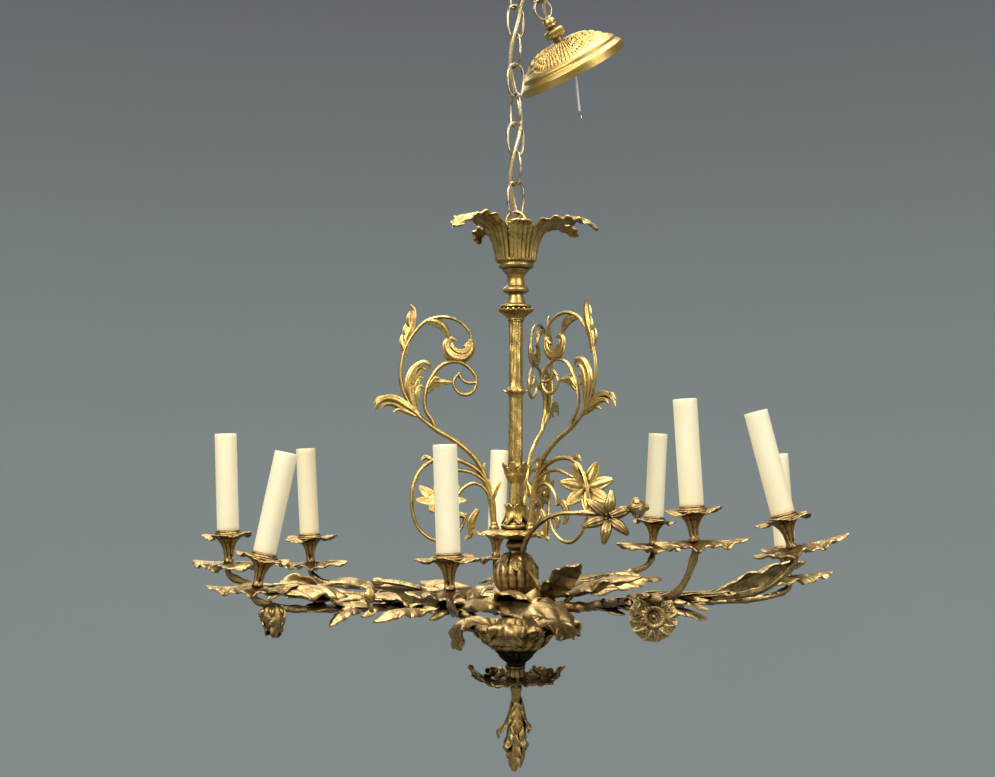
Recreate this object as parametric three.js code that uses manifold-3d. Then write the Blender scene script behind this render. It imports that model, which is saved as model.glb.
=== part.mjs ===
// A nine-light foliate chandelier of gilt bronze, hanging on an oval-link chain from a ceiling hook.
// Millimetres, +Z up, X to the right and Y to the back. The origin is the middle of the hook plate's
// flat top face, and the chain, the column and the drop finial hang on the Z axis below it.
import * as THREE from "three";
import { mergeVertices } from "three/addons/utils/BufferGeometryUtils.js";
import Module from "manifold-3d";

const wasm = await Module();
wasm.setup();

// ---------- driving dimensions ----------
const GAP = 0.3; // clearance between pieces that touch

const WIRE = 3; // chain wire diameter
const LINK_LENGTH = 39; // over the outside of the wire
const LINK_WIDTH = 23;
const LINK_REACH = (LINK_LENGTH - WIRE) / 2; // link centre to the wire's centre at its end
const LINK_BEND = (LINK_WIDTH - WIRE) / 2; // centreline radius of a link's round ends
const LINK_PITCH = 2 * LINK_REACH - WIRE - GAP; // from one link's centre to the next
const LINKS = 9;
const CHAIN_TURN = 31; // degrees from X to the plane of the odd links, the hook's links and the canopy

const HOOK_WIRE = 5;
const HOOK_RADIUS = 12; // centreline radius of the hook's bend
const HOOK_Z = -47; // centre of the hook's wire at the bottom of its bend
const PLATE_RADIUS = 22;
const PLATE_THICKNESS = 4;
const FIRST_LINK_DROP = LINK_REACH - (HOOK_WIRE + WIRE) / 2 - GAP; // hook wire to the first link's centre

const CANOPY_ANGLE = 33; // degrees from straight down to the line of the canopy's links and axis
const CANOPY_SIDE = 5.5; // how far along the hook's wire the canopy's links hang beside the chain
const CANOPY_RADIUS = 63.5;
const CORD_DIAMETER = 4.2;
const CORD_ORBIT = 5.7; // radius of the cord's path round the chain's axis
const LEAD_DIAMETER = 3;

const SLEEVE_RADIUS = 11.5; // candelabra candle sleeve
const SLEEVE_BORE = 10.3;
const SLEEVE_LENGTH = 101.6;
const SOCKET_RADIUS = 9;
const SOCKET_TOP = 92;
const SOCKET_BORE = 6.4;
const SOCKET_DEPTH = 26;
const CUP_HEIGHT = 34; // from the sleeve's seat down to the foot of the candle cup

const COLUMN_RADIUS = 7.7;
const HUB_RADIUS = 18;
const HUB_TOP = -753;
const HUB_BOTTOM = -777;
const TRUNK_RADIUS = 4.5; // branches, up to the fork
const STEM_RADIUS = 3.4; // and beyond it
const TWIG_RADIUS = 2.2; // leaf stalks and twigs
const SCROLL_RADIUS = 2.1; // rods of the scroll brackets

// Each candle: where its sleeve stands, how its top leans in degrees (towards +X, towards +Y), and the
// drip leaf under it (its direction in degrees from +X, how far its middle is pushed that way, and how
// much it climbs towards its tip).
const CANDLES = [
  { seat: [-305, -42, -683], lean: [-2, 0], leaf: 155, push: 0, climb: 0, branch: 1 },
  { seat: [-252, -140, -702], lean: [12, 0], leaf: 188, push: 4, climb: -0.02, branch: 1 },
  { seat: [-245, 181, -695], lean: [-3, 0], leaf: 172, push: 0, climb: -0.03, branch: 0 },
  { seat: [-66, -235, -698], lean: [-2, 0], leaf: 205, push: 0, climb: -0.05, branch: 1 },
  { seat: [-21, 320, -695], lean: [2, 2], leaf: 80, push: 4, climb: 0, branch: 0 },
  { seat: [172, 226, -676], lean: [3, 0], leaf: 8, push: 0, climb: -0.04, branch: 0 },
  { seat: [165, -212, -654], lean: [-3.4, 0], leaf: -10, push: 8, climb: 0.05, branch: 2 },
  { seat: [256, -187, -662], lean: [-14.5, 0], leaf: -6, push: 8, climb: 0.24, branch: 2 },
  { seat: [298, 38, -703], lean: [-4, 0], leaf: 12, push: 8, climb: 0.08, branch: 2 },
];
// Each of the three branches leaves the hub at an angle and forks once, 85 mm out.
const BRANCH_ANGLES = [96, 214, 328];
const FORK_REACH = 85;
const STEM_Z = -766;

// The three scroll brackets stand round the column on the gallery plate.
const BRACKET_ANGLES = [190, 310, 70];

// ---------- materials ----------
function metal(color, roughness) {
  return () => new THREE.MeshStandardMaterial({ color, roughness, metalness: 1 });
}
const gilt = metal(0xb08a45, 0.42);
const darkGilt = metal(0x7a6236, 0.55);
const darkBronze = metal(0x39322a, 0.6);
const chainBrass = metal(0xb7a878, 0.35);
const polishedBrass = metal(0xd9b45a, 0.3);
const steel = metal(0x8c8c88, 0.4);
const ivory = () => new THREE.MeshStandardMaterial({ color: 0xefe6c4, roughness: 0.45 });
const clearCord = () => new THREE.MeshStandardMaterial({ color: 0xb99f5d, roughness: 0.3 });
const whiteWire = () => new THREE.MeshStandardMaterial({ color: 0xe8e8e2, roughness: 0.5 });

// ---------- shape helpers ----------
const rad = THREE.MathUtils.degToRad;
const vec = (x, y, z) => new THREE.Vector3(x, y, z);
const UP = vec(0, 0, 1);

// The point at a radius, an angle from +X and a height.
function polar(radius, degrees, z) {
  return vec(radius * Math.cos(rad(degrees)), radius * Math.sin(rad(degrees)), z);
}

// A closed geometry as a manifold-3d solid.
function solid(geometry) {
  const bare = geometry.index ? geometry.toNonIndexed() : geometry.clone();
  bare.deleteAttribute("normal");
  bare.deleteAttribute("uv");
  const merged = mergeVertices(bare, 1e-4);
  const vertProperties = new Float32Array(merged.attributes.position.array);
  const triVerts = new Uint32Array(merged.index.array);
  return new wasm.Manifold(new wasm.Mesh({ numProp: 3, vertProperties, triVerts }));
}

// A manifold-3d solid as a geometry.
function geometryOf(body) {
  const mesh = body.getMesh();
  const geometry = new THREE.BufferGeometry();
  geometry.setAttribute("position", new THREE.BufferAttribute(mesh.vertProperties, 3));
  geometry.setIndex(new THREE.BufferAttribute(mesh.triVerts, 1));
  geometry.computeVertexNormals();
  return geometry;
}

// Overlapping geometries joined into one, less any cutters.
function join(geometries, cutters = []) {
  const whole = geometries.map(solid).reduce((sum, next) => sum.add(next));
  return geometryOf(cutters.map(solid).reduce((rest, cutter) => rest.subtract(cutter), whole));
}

// A turned piece: its profile is a list of [radius, z] from the bottom to the top.
function lathe(profile, sides = 16) {
  const points = profile.map(([r, z]) => new THREE.Vector2(r, z));
  return new THREE.LatheGeometry(points, sides).rotateX(Math.PI / 2);
}

// A turned piece whose radius swells and shrinks in lobes where the profile is wider than a waist.
function lobed(profile, sides, lobes, depth, waist) {
  const geometry = lathe(profile, sides);
  const place = geometry.attributes.position;
  for (let i = 0; i < place.count; i++) {
    const radius = Math.hypot(place.getX(i), place.getY(i));
    if (radius <= waist) continue;
    const angle = Math.atan2(place.getY(i), place.getX(i));
    const scale = 1 - depth * (0.5 - 0.5 * Math.cos(lobes * angle));
    place.setXY(i, place.getX(i) * scale, place.getY(i) * scale);
  }
  return geometry;
}

// A round rod along a smooth curve through points.
function rod(points, radius, steps, sides = 6) {
  const section = new THREE.Shape();
  for (let i = 0; i < sides; i++) {
    const angle = (2 * Math.PI * i) / sides;
    section[i ? "lineTo" : "moveTo"](radius * Math.cos(angle), radius * Math.sin(angle));
  }
  const extrudePath = new THREE.CatmullRomCurve3(points);
  return new THREE.ExtrudeGeometry(section, { steps, extrudePath, bevelEnabled: false });
}

// A leaf: a thin pointed plate along a smooth curve, cupped across its width where it has two strips.
function leaf(points, width, { thickness = 2, cup = 0, up = UP, rows = 3, strips = 1 } = {}) {
  const spine = new THREE.CatmullRomCurve3(points);
  const plate = new THREE.BoxGeometry(1, 2, 1, rows, strips, 1);
  const place = plate.attributes.position;
  for (let i = 0; i < place.count; i++) {
    const t = Math.min(Math.max(place.getX(i) + 0.5, 0), 1);
    const across = place.getY(i);
    const along = spine.getTangent(t);
    const side = vec(0, 0, 0).crossVectors(up, along).normalize();
    const face = vec(0, 0, 0).crossVectors(along, side);
    const half = (width / 2) * (0.12 + 0.88 * Math.sin(Math.PI * Math.pow(t, 0.8)) ** 0.7);
    const point = spine.getPoint(t).addScaledVector(side, across * half);
    point.addScaledVector(face, place.getZ(i) * thickness - cup * half * across ** 2);
    place.setXYZ(i, point.x, point.y, point.z);
  }
  return plate;
}

// A flat star of pointed petals, facing +Z, its middle at the origin.
function star(petals, reach, waist, thickness) {
  const outline = new THREE.Shape();
  for (let i = 0; i < 2 * petals; i++) {
    const radius = i % 2 ? waist : reach;
    const angle = (Math.PI * i) / petals;
    outline[i ? "lineTo" : "moveTo"](radius * Math.cos(angle), radius * Math.sin(angle));
  }
  const flower = new THREE.ExtrudeGeometry(outline, { depth: thickness, bevelEnabled: false });
  return flower.translate(0, 0, -thickness / 2);
}

// Turns a geometry so that its +Z runs along a direction, and moves it to a place.
function aimed(geometry, direction, place) {
  const turn = new THREE.Quaternion().setFromUnitVectors(UP, direction.clone().normalize());
  return geometry.applyQuaternion(turn).translate(place.x, place.y, place.z);
}

// ---------- the exported group ----------
const chandelier = new THREE.Group();

function piece(name, geometry, material, parent = chandelier) {
  const mesh = new THREE.Mesh(geometry, material());
  mesh.name = name;
  parent.add(mesh);
  return mesh;
}

function group(parent = chandelier) {
  const made = new THREE.Group();
  parent.add(made);
  return made;
}

// ---------- ceiling hook, chain and canopy ----------
// The hook's wire runs along the Y axis of this group, and so the odd links lie in its XZ plane.
const hanging = group();
hanging.rotation.z = rad(CHAIN_TURN);

// A question-mark hook below a flat round plate. The bend is open at its front top.
function hook() {
  const centre = HOOK_Z + HOOK_RADIUS;
  const bend = [];
  for (let degrees = 90; degrees >= -200; degrees -= 29) {
    bend.push(vec(0, HOOK_RADIUS * Math.cos(rad(degrees)), centre + HOOK_RADIUS * Math.sin(rad(degrees))));
  }
  const wire = rod(bend, HOOK_WIRE / 2, 20, 8);
  const shank = lathe([[0, centre + 9], [3.2, centre + 9], [3.2, -2], [0, -2]], 12);
  const radius = PLATE_RADIUS;
  const low = -PLATE_THICKNESS;
  const plate = lathe([[0, low], [radius - 2, low], [radius, low + 2], [radius, 0], [0, 0]], 24);
  return join([wire, shank, plate]);
}

// An oval link standing in the XZ plane: a ring whose two halves are drawn apart.
function link() {
  const segments = 14; // of the form 4n + 2, so that a corner lies at each end of the link
  const ring = new THREE.TorusGeometry(LINK_BEND, WIRE / 2, 6, segments);
  ring.rotateZ(Math.PI / segments);
  const place = ring.attributes.position;
  const stretch = LINK_REACH - LINK_BEND;
  for (let i = 0; i < place.count; i++) {
    place.setY(i, place.getY(i) + stretch * Math.sign(place.getY(i)));
  }
  return ring.rotateX(Math.PI / 2);
}

piece("ceiling_hook", hook(), steel, hanging);

const FIRST_LINK_Z = HOOK_Z - FIRST_LINK_DROP;
for (let i = 0; i < LINKS; i++) {
  const made = piece(`chain_link_${i + 1}`, link(), chainBrass, hanging);
  made.position.z = FIRST_LINK_Z - i * LINK_PITCH;
  made.rotation.z = i % 2 ? Math.PI / 2 : 0;
}

// The canopy hangs from the same hook on two links, in one slanting line beside the chain. The
// group's origin is on the hook's wire and its -Z runs down that line.
const SLANT_Z = HOOK_Z + HOOK_RADIUS - Math.sqrt(HOOK_RADIUS ** 2 - CANOPY_SIDE ** 2) + 2 * GAP;
const slant = group(hanging);
slant.position.set(0, CANOPY_SIDE, SLANT_Z);
slant.rotation.y = rad(-CANOPY_ANGLE);

for (let i = 0; i < 2; i++) {
  const made = piece(`canopy_link_${i + 1}`, link(), chainBrass, slant);
  made.position.z = -FIRST_LINK_DROP - i * LINK_PITCH;
  made.rotation.z = i ? Math.PI / 2 : 0;
}

// The loop's top wire is held in the second link, and everything of the canopy hangs below it.
const LOOP_WIRE = 3.5;
const LOOP_Z = -(FIRST_LINK_DROP + LINK_PITCH + LINK_REACH - (WIRE + LOOP_WIRE) / 2 - GAP);
const canopyGroup = group(slant);
canopyGroup.position.z = LOOP_Z;

// A ring loop on a hollow threaded stem that passes through the ring nut and the canopy.
const STEM_OUTER = 5.5;
const STEM_BORE = 2.8;
const STEM_END = -57;
function canopyLoop() {
  const ring = new THREE.TorusGeometry(11, LOOP_WIRE / 2, 6, 14).rotateX(Math.PI / 2).translate(0, 0, -11);
  const neck = [[0, STEM_END], [STEM_OUTER, STEM_END], [STEM_OUTER, -32], [7.5, -30], [7.5, -26]];
  const stem = lathe([...neck, [STEM_OUTER, -22], [0, -22]], 12);
  const bore = lathe([[0, STEM_END - 1], [STEM_BORE, STEM_END - 1], [STEM_BORE, -18], [0, -18]], 10);
  return join([ring, stem], [bore]);
}

// A knurled ring nut, turned by hand to clamp the canopy.
function ringNut() {
  const inner = STEM_OUTER + GAP;
  const band = [[inner, -45], [9, -45], [11.5, -43], [11.5, -37], [10, -35], [inner, -35], [inner, -45]];
  return lathe(band, 16);
}

// A domed canopy: a thin spun shell with a moulded shoulder and a plain rim band.
function canopyShell() {
  const rim = CANOPY_RADIUS;
  const hole = STEM_OUTER + GAP;
  const band = [[rim, -88], [rim, -78], [58, -76], [57, -70]];
  const dome = [[48, -66], [40, -59], [30, -53], [10, -50], [hole, -50]];
  const inside = [[hole, -52.5], [29, -55.5], [46.5, -68.5], [61.5, -80], [61.5, -88]];
  return lathe([...band, ...dome, ...inside, [rim, -88]], 24);
}

piece("canopy_loop", canopyLoop(), polishedBrass, canopyGroup);
piece("canopy_ring_nut", ringNut(), polishedBrass, canopyGroup);
piece("canopy", canopyShell(), polishedBrass, canopyGroup);

// ---------- cords ----------
const CROWN_FLOOR = -380; // inside the crown's cup, where the cord goes into the column
// The lamp cord's route in the chain's own frame, X along the odd links. From the crown it winds up
// through every link, a quarter turn each, and then crosses to the canopy's loop and its hollow stem.
const CORD_START_Z = -345;
const CORD_START_SHIFT = 1.6; // how much wider than its orbit the cord stands on the crown's floor
const CORD_SIDE_ANGLE = -45; // where the cord passes the wires between links 2 and 3, in degrees
function chainCordPoints() {
  const top = FIRST_LINK_Z - LINK_PITCH - LINK_REACH + (WIRE + GAP) / 2; // between links 2 and 3
  const steps = 22;
  const points = [];
  for (let i = 0; i <= steps; i++) {
    const z = CORD_START_Z + ((top - CORD_START_Z) * i) / steps;
    points.push(polar(CORD_ORBIT, CORD_SIDE_ANGLE - (90 * (top - z)) / LINK_PITCH, z));
  }
  return points;
}

// From the canopy group's frame to the chain's frame.
function fromCanopy(x, y, z) {
  const turned = vec(x, y, z + LOOP_Z).applyAxisAngle(vec(0, 1, 0), rad(-CANOPY_ANGLE));
  return turned.add(vec(0, CANOPY_SIDE, SLANT_Z));
}

function lampCord() {
  const over = [vec(8, -8, -98), vec(16, -11, -89), vec(26, -11, -86), vec(35, -7, -91)];
  const mouth = [fromCanopy(0, -4, -9), fromCanopy(0, -1, -15)];
  const bore = [-21, -34, STEM_END].map((z) => fromCanopy(0, 0, z));
  const wound = chainCordPoints();
  const aside = (z) => vec(CORD_START_SHIFT * wound[0].x, CORD_START_SHIFT * wound[0].y, z);
  const start = [aside(CROWN_FLOOR + GAP), aside(CORD_START_Z - 15)];
  const path = [...start, ...wound, ...over, ...mouth, ...bore];
  return rod(path, CORD_DIAMETER / 2, 46, 8);
}

// The stiff white lead that comes out of the stem inside the canopy and hangs below its rim.
const LEAD_ROUTE = [
  [0, 0, STEM_END - GAP], [0, 0, -62], [0.5, -0.3, -66], [1.3, -0.6, -70], [2, -1, -74],
  [2, -1.4, -78], [1.4, -1.6, -82], [0.2, -1.8, -86], [-1.6, -2, -90], [-3.4, -2.2, -94],
  [-5.2, -2.2, -98], [-7, -2, -102], [-8.8, -1.8, -106], [-10.6, -1.6, -110], [-12.4, -1.4, -114],
  [-14.2, -1.2, -118], [-16, -1, -122], [-17.8, -0.8, -126], [-19.6, -0.6, -130], [-21.4, -0.4, -134],
];
function leadWire() {
  return rod(LEAD_ROUTE.map((point) => vec(...point)), LEAD_DIAMETER / 2, 14, 8);
}

piece("lamp_cord", lampCord(), clearCord, hanging);
piece("lead_wire", leadWire(), whiteWire, canopyGroup);

// ---------- crown, vase, column and plate ----------
const RING_WIRE = 3;
const RING_RADIUS = 11;
const LAST_LINK_Z = FIRST_LINK_Z - (LINKS - 1) * LINK_PITCH;
const RING_Z = LAST_LINK_Z - LINK_REACH + WIRE + GAP - RING_RADIUS;
const RING_TURN = -20; // degrees from X to the ring's plane
const CROWN_BOTTOM = -401;

function crownRing() {
  const ring = new THREE.TorusGeometry(RING_RADIUS, RING_WIRE / 2, 6, 14).rotateX(Math.PI / 2);
  ring.rotateZ(rad(RING_TURN)).translate(0, 0, RING_Z);
  const flange = [[0, CROWN_FLOOR], [6.5, CROWN_FLOOR], [6.5, -376], [4, -372]];
  const foot = lathe([...flange, [4, -358], [5.5, -355], [0, -355]], 10);
  return join([ring, foot]);
}

// The crown's leaves: the direction of each in degrees, its width, and its line from the cup to its tip.
const CROWN_LEAVES = [
  { angle: -80, width: 34, tip: [[29, -361], [32, -355], [35.5, -351]] },
  { angle: -20, width: 34, tip: [[33, -358], [47, -350], [68, -347.5], [82, -352], [92, -361]] },
  { angle: 31, width: 24, tip: [[33, -358], [46, -352], [60, -349.5], [72, -352], [80, -358]] },
  { angle: 100, width: 34, tip: [[32, -356], [42, -350], [54, -349], [64, -354], [70, -362]] },
  { angle: 160, width: 28, tip: [[31, -359], [38, -356], [44, -358], [46, -363], [44, -370]] },
  { angle: 220, width: 34, tip: [[33, -357], [46, -349], [62, -346.5], [76, -351], [85, -361]] },
];

// The crown: a cup of six acanthus leaves that flare and droop at their tips.
function crown() {
  const outside = [[0, CROWN_BOTTOM], [19, CROWN_BOTTOM], [20.5, -397], [18, -393], [22, -384], [27, -370]];
  const inside = [[29, -362], [27, -362], [24, -372], [16, CROWN_FLOOR - GAP], [0, CROWN_FLOOR - GAP]];
  const leaves = CROWN_LEAVES.map(({ angle, width, tip }) => {
    const points = [[22.4, -383], [26, -368], ...tip].map(([r, z]) => polar(r, angle, z));
    return leaf(points, width, { thickness: 2.4, cup: -0.15, up: polar(-1, angle, 0.6), rows: 6, strips: 2 });
  });
  return join([lathe([...outside, ...inside], 18), ...leaves]);
}

// The turned vase under the crown, with its fluted petal collar.
function vase() {
  const foot = [[0, -457], [8.5, -457], [8.5, -454], [19, -443], [17.5, -440], [7, -430], [7, -428]];
  const body = [[14, -426], [14, -421], [9.5, -417], [9, -411], [13, -405], [15, CROWN_BOTTOM - GAP]];
  return lathe([...foot, ...body, [0, CROWN_BOTTOM - GAP]], 16);
}

const COLUMN_TOP = -457 - GAP;
const COLUMN_BOTTOM = -684;
function column() {
  const r = COLUMN_RADIUS;
  const base = [[0, COLUMN_BOTTOM], [16, COLUMN_BOTTOM], [16, -678], [9, -673], [r, -668]];
  const lower = [[r, -632], [12, -626], [12, -620], [r, -614]];
  const upper = [[r, -540], [11, -536], [11, -532], [r, -528], [r, COLUMN_TOP], [0, COLUMN_TOP]];
  return lathe([...base, ...lower, ...upper], 12);
}

const GALLERY_TOP = COLUMN_BOTTOM - GAP;
const GALLERY_BOTTOM = -695;
function galleryPlate() {
  const low = [[0, GALLERY_BOTTOM], [12, GALLERY_BOTTOM], [24, -692], [38, -689], [38, -687]];
  return lobed([...low, [28, GALLERY_TOP], [0, GALLERY_TOP]], 24, 8, 0.12, 30);
}

// The neck, the reeded gourd ball and the hub that the branches leave.
function gourdBall() {
  const hub = [[0, HUB_BOTTOM], [HUB_RADIUS, HUB_BOTTOM], [HUB_RADIUS, -757]];
  const ball = [[14, HUB_TOP], [21, -746], [25, -738], [25, -728], [21, -718], [12, -711]];
  const neck = [[8, -707], [11, -703], [11, -699], [8, GALLERY_BOTTOM - GAP], [0, GALLERY_BOTTOM - GAP]];
  return lathe([...hub, ...ball, ...neck], 18);
}

piece("crown_ring", crownRing(), gilt);
piece("crown", crown(), gilt);
piece("vase", vase(), gilt);
piece("column", column(), gilt);
piece("gallery_plate", galleryPlate(), gilt);
piece("gourd_ball", gourdBall(), darkGilt);

// ---------- calyx, lower cup, saucer and drop finial ----------
const CALYX_BOTTOM = -813;
function calyx() {
  const body = [[0, CALYX_BOTTOM], [27, CALYX_BOTTOM], [31, -806], [28, -796], [17, HUB_BOTTOM - GAP]];
  const leaves = [];
  for (let i = 0; i < 6; i++) {
    const angle = 30 + 60 * i;
    const spine = [[22, -800], [34, -788], [50, -783], [64, -790], [70, -802]];
    const points = spine.map(([r, z]) => polar(r, angle, z));
    leaves.push(leaf(points, 34, { thickness: 2.4, cup: 0.2, rows: 4, strips: 2 }));
  }
  return join([lathe([...body, [0, HUB_BOTTOM - GAP]], 18), ...leaves]);
}

const LOWER_CUP_BOTTOM = -830;
function lowerCup() {
  const top = CALYX_BOTTOM - GAP;
  const low = [[0, LOWER_CUP_BOTTOM], [10, LOWER_CUP_BOTTOM], [11, -827]];
  return lathe([...low, [19, -819], [20.5, top], [0, top]], 16);
}

// A shallow leafy saucer with eight turned-up lobes.
const SAUCER_BOTTOM = -852;
function leafSaucer() {
  const top = LOWER_CUP_BOTTOM - GAP;
  const low = [[0, SAUCER_BOTTOM], [6, SAUCER_BOTTOM], [8, -847], [30, -845], [44, -841], [53, -834]];
  const high = [[52, -832], [42, -838], [29, -841.5], [9, -842], [8, top], [0, top]];
  return lobed([...low, ...high], 24, 8, 0.16, 32);
}

// The drop finial: a short stem and a bunch of hanging leaves that ends in a point.
function dropFinial() {
  const top = SAUCER_BOTTOM - GAP;
  const tip = [[0, -943], [4, -940], [9, -928], [13, -912], [14, -896], [9, -882]];
  return lobed([...tip, [6, -872], [6, -858], [5, top], [0, top]], 18, 6, 0.2, 7);
}

piece("calyx", calyx(), darkGilt);
piece("lower_cup", lowerCup(), darkBronze);
piece("leaf_saucer", leafSaucer(), darkGilt);
piece("drop_finial", dropFinial(), gilt);

// ---------- scroll brackets ----------
// Outlines in a bracket's own upright plane: [distance from the column's axis, z].
const TALL_SCROLL = [
  [24, -679], [30, -640], [42, -611], [70, -587], [100, -566], [121, -539], [126, -512], [118, -485],
  [97, -460], [73, -455], [54, -466], [50, -484], [60, -494], [71, -488],
];
const INNER_SCROLL = [
  [88, -575], [98, -548], [94, -524], [79, -506], [58, -505],
  [44, -521], [46, -534], [55, -538], [65, -534], [68, -526], [62, -516], [55, -523], [45, -525],
];
const FLOWER_SCROLL = [
  [40, -613], [62, -606], [90, -611], [108, -630], [113, -655], [106, -680], [88, -697], [72, -692],
];
const TENDRIL = [[28, -660], [44, -690], [60, -684], [70, -664], [78, -653]];
const FLOWER_PLACE = [78, -653];
const SPRAYS = [
  { along: [[107, -470], [118, -456], [112, -438]], width: 14 },
  { along: [[106, -560], [130, -563], [150, -556]], width: 14 },
  { along: [[119, -541], [106, -520], [96, -508], [86, -512]], width: 12 },
  { along: [[97, -530], [82, -526], [66, -524]], width: 9 },
  { along: [[99, -462], [84, -468], [70, -484]], width: 12 },
];
const FLOWER_REACH = 31;

// One bracket: a tall scroll, a C-scroll inside it, a round scroll with a star flower, and leaves.
// It is drawn in the XZ plane and turned to its angle.
function bracket() {
  const flat = (points) => points.map(([r, z]) => vec(r, 0, z));
  const side = vec(0, 1, 0);
  const spray = ({ along, width }) => leaf(flat(along), width, { thickness: 3, up: side });
  const foot = lathe([[0, GALLERY_TOP + 2 * GAP], [5, GALLERY_TOP + 2 * GAP], [5, -676], [0, -674]], 8);
  const flower = aimed(star(7, FLOWER_REACH, 12, 3), side, vec(FLOWER_PLACE[0], 0, FLOWER_PLACE[1]));
  return join([
    rod(flat(TALL_SCROLL), SCROLL_RADIUS, 22, 5),
    rod(flat(INNER_SCROLL), SCROLL_RADIUS, 12, 5),
    rod(flat(FLOWER_SCROLL), SCROLL_RADIUS, 10, 5),
    rod(flat(TENDRIL), SCROLL_RADIUS, 6, 5),
    foot.translate(24, 0, 0),
    flower,
    ...SPRAYS.map(spray),
  ]);
}

BRACKET_ANGLES.forEach((angle, i) => {
  piece(`scroll_bracket_${i + 1}`, bracket(), gilt).rotation.z = rad(angle);
});

// ---------- branches ----------
// The direction of a candle's own axis, from its foot to its top.
function candleAxis({ lean }) {
  return vec(Math.tan(rad(lean[0])), Math.tan(rad(lean[1])), 1).normalize();
}

// The trunk of a branch, from the hub to its fork.
const forkOf = (branch) => polar(FORK_REACH, BRANCH_ANGLES[branch], STEM_Z + 2);
function trunk(branch) {
  return rod([polar(HUB_RADIUS + GAP, BRANCH_ANGLES[branch], STEM_Z), forkOf(branch)], TRUNK_RADIUS, 1, 8);
}

// The points of the stem to one candle, from the fork up to its cup's foot.
function stemPoints(candle) {
  const seat = vec(...candle.seat);
  const axis = candleAxis(candle);
  const foot = seat.clone().addScaledVector(axis, -CUP_HEIGHT - GAP);
  const under = vec(seat.x * 0.93, seat.y * 0.93, Math.min(foot.z - 22, STEM_Z + 30));
  const fork = forkOf(candle.branch);
  return [fork, fork.clone().lerp(under, 0.5), under, foot.clone().addScaledVector(axis, -12), foot];
}

function candleStem(candle) {
  return rod(stemPoints(candle), STEM_RADIUS, 10, 6);
}

// The stalk of a leaf: from the nearest place on the branch's stems to a little way into the leaf.
function stalk({ from, to }, candles) {
  const start = vec(...from);
  const places = candles.flatMap((candle) => new THREE.CatmullRomCurve3(stemPoints(candle)).getPoints(40));
  const root = polar(30, BRANCH_ANGLES[candles[0].branch], STEM_Z);
  places.push(...new THREE.LineCurve3(root, places[0]).getPoints(8));
  const nearest = places.reduce((best, p) => (p.distanceTo(start) < best.distanceTo(start) ? p : best));
  const inside = start.clone().lerp(vec(...to), 0.25).add(vec(0, 0, 3));
  return rod([nearest, inside], TWIG_RADIUS, 1, 5);
}

// The drip leaf that lies under a candle's cup, on the end of its stem.
const DRIP_LENGTH = 88;
const DRIP_WIDTH = 42;
function dripLeaf(candle) {
  const foot = vec(...candle.seat).addScaledVector(candleAxis(candle), -CUP_HEIGHT - GAP - 6);
  const along = polar(1, candle.leaf, 0);
  const at = (share, lift) => {
    const reach = candle.push + share * DRIP_LENGTH;
    return foot.clone().addScaledVector(along, reach).add(vec(0, 0, candle.climb * reach + lift));
  };
  const spine = [at(-0.5, 4), at(-0.2, 0), at(0.2, 0), at(0.5, 5)];
  return leaf(spine, DRIP_WIDTH, { cup: -0.1, rows: 4, strips: 2 });
}

// Leaves that lie along each branch: [from, to] and the width.
const BRANCH_LEAVES = [
  [
    { from: [-20, 120, -768], to: [-110, 170, -752], width: 44 },
    { from: [10, 130, -768], to: [80, 205, -750], width: 44 },
    { from: [-5, 90, -766], to: [-12, 235, -745], width: 40 },
    { from: [90, 150, -765], to: [175, 175, -748], width: 34 },
    { from: [-140, 140, -762], to: [-215, 130, -748], width: 34 },
  ],
  [
    { from: [-60, -45, -766], to: [-150, -95, -748], width: 46 },
    { from: [-40, -50, -766], to: [-45, -190, -752], width: 46 },
    { from: [-150, -60, -762], to: [-215, -20, -752], width: 34 },
    { from: [-160, -100, -762], to: [-185, -150, -774], width: 26 },
    { from: [-190, -110, -752], to: [-290, -105, -738], width: 30 },
    { from: [-45, -160, -758], to: [-138, -215, -728], width: 34 },
    { from: [-90, -120, -762], to: [-140, -170, -768], width: 26 },
  ],
  [
    { from: [26, -46, -757], to: [62, -116, -720], width: 42 },
    { from: [42, -36, -754], to: [130, -72, -731], width: 36 },
    { from: [130, -70, -762], to: [215, -95, -748], width: 36 },
    { from: [200, -60, -752], to: [300, -70, -715], width: 30 },
    { from: [120, -110, -764], to: [190, -130, -768], width: 30 },
    { from: [30, -60, -766], to: [-20, -150, -742], width: 44 },
  ],
];

function branchLeaf({ from, to, width }) {
  const start = vec(...from);
  const end = vec(...to);
  const middle = start.clone().lerp(end, 0.5).add(vec(0, 0, 5));
  return leaf([start, middle, end], width);
}

// A short twig from a stem to the place that something sits on.
const twig = (points) => rod(points.map((point) => vec(...point)), TWIG_RADIUS, 2 * points.length - 2, 5);

// What only one of the branches carries.
const HANGING_BUD = [-243, -141, -757];
const ROSETTE = [134, -150, -765];
const ROSETTE_RADIUS = 23;
const LILY = [92, -104, -668];
const LILY_STEM = [
  [32, -24, -764], [22, -26, -742], [8, -34, -715], [12, -58, -690],
  [34, -82, -668], [64, -98, -664], [92, -101, -668],
];
const ROUND_BUD = [122, -108, -658];

function hangingBud() {
  const bud = lathe([[0, -30], [10, -27], [12, -18], [6, -8], [4, 2], [0, 2]], 10);
  const stalk = twig([[-240, -131, -757], [-242, -136, -755], [-243, -141, -758]]);
  return [bud.translate(...HANGING_BUD), stalk];
}

function rosette() {
  const face = vec(0.12, -1, 0.05);
  const disc = lathe([[0, -3], [16, -3], [ROSETTE_RADIUS, 0], [ROSETTE_RADIUS, 2], [12, 4], [0, 6]], 16);
  const stalk = twig([[118, -100, -764], [126, -126, -765], [134, -150, -765]]);
  return [aimed(disc, face, vec(...ROSETTE)), stalk];
}

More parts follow.
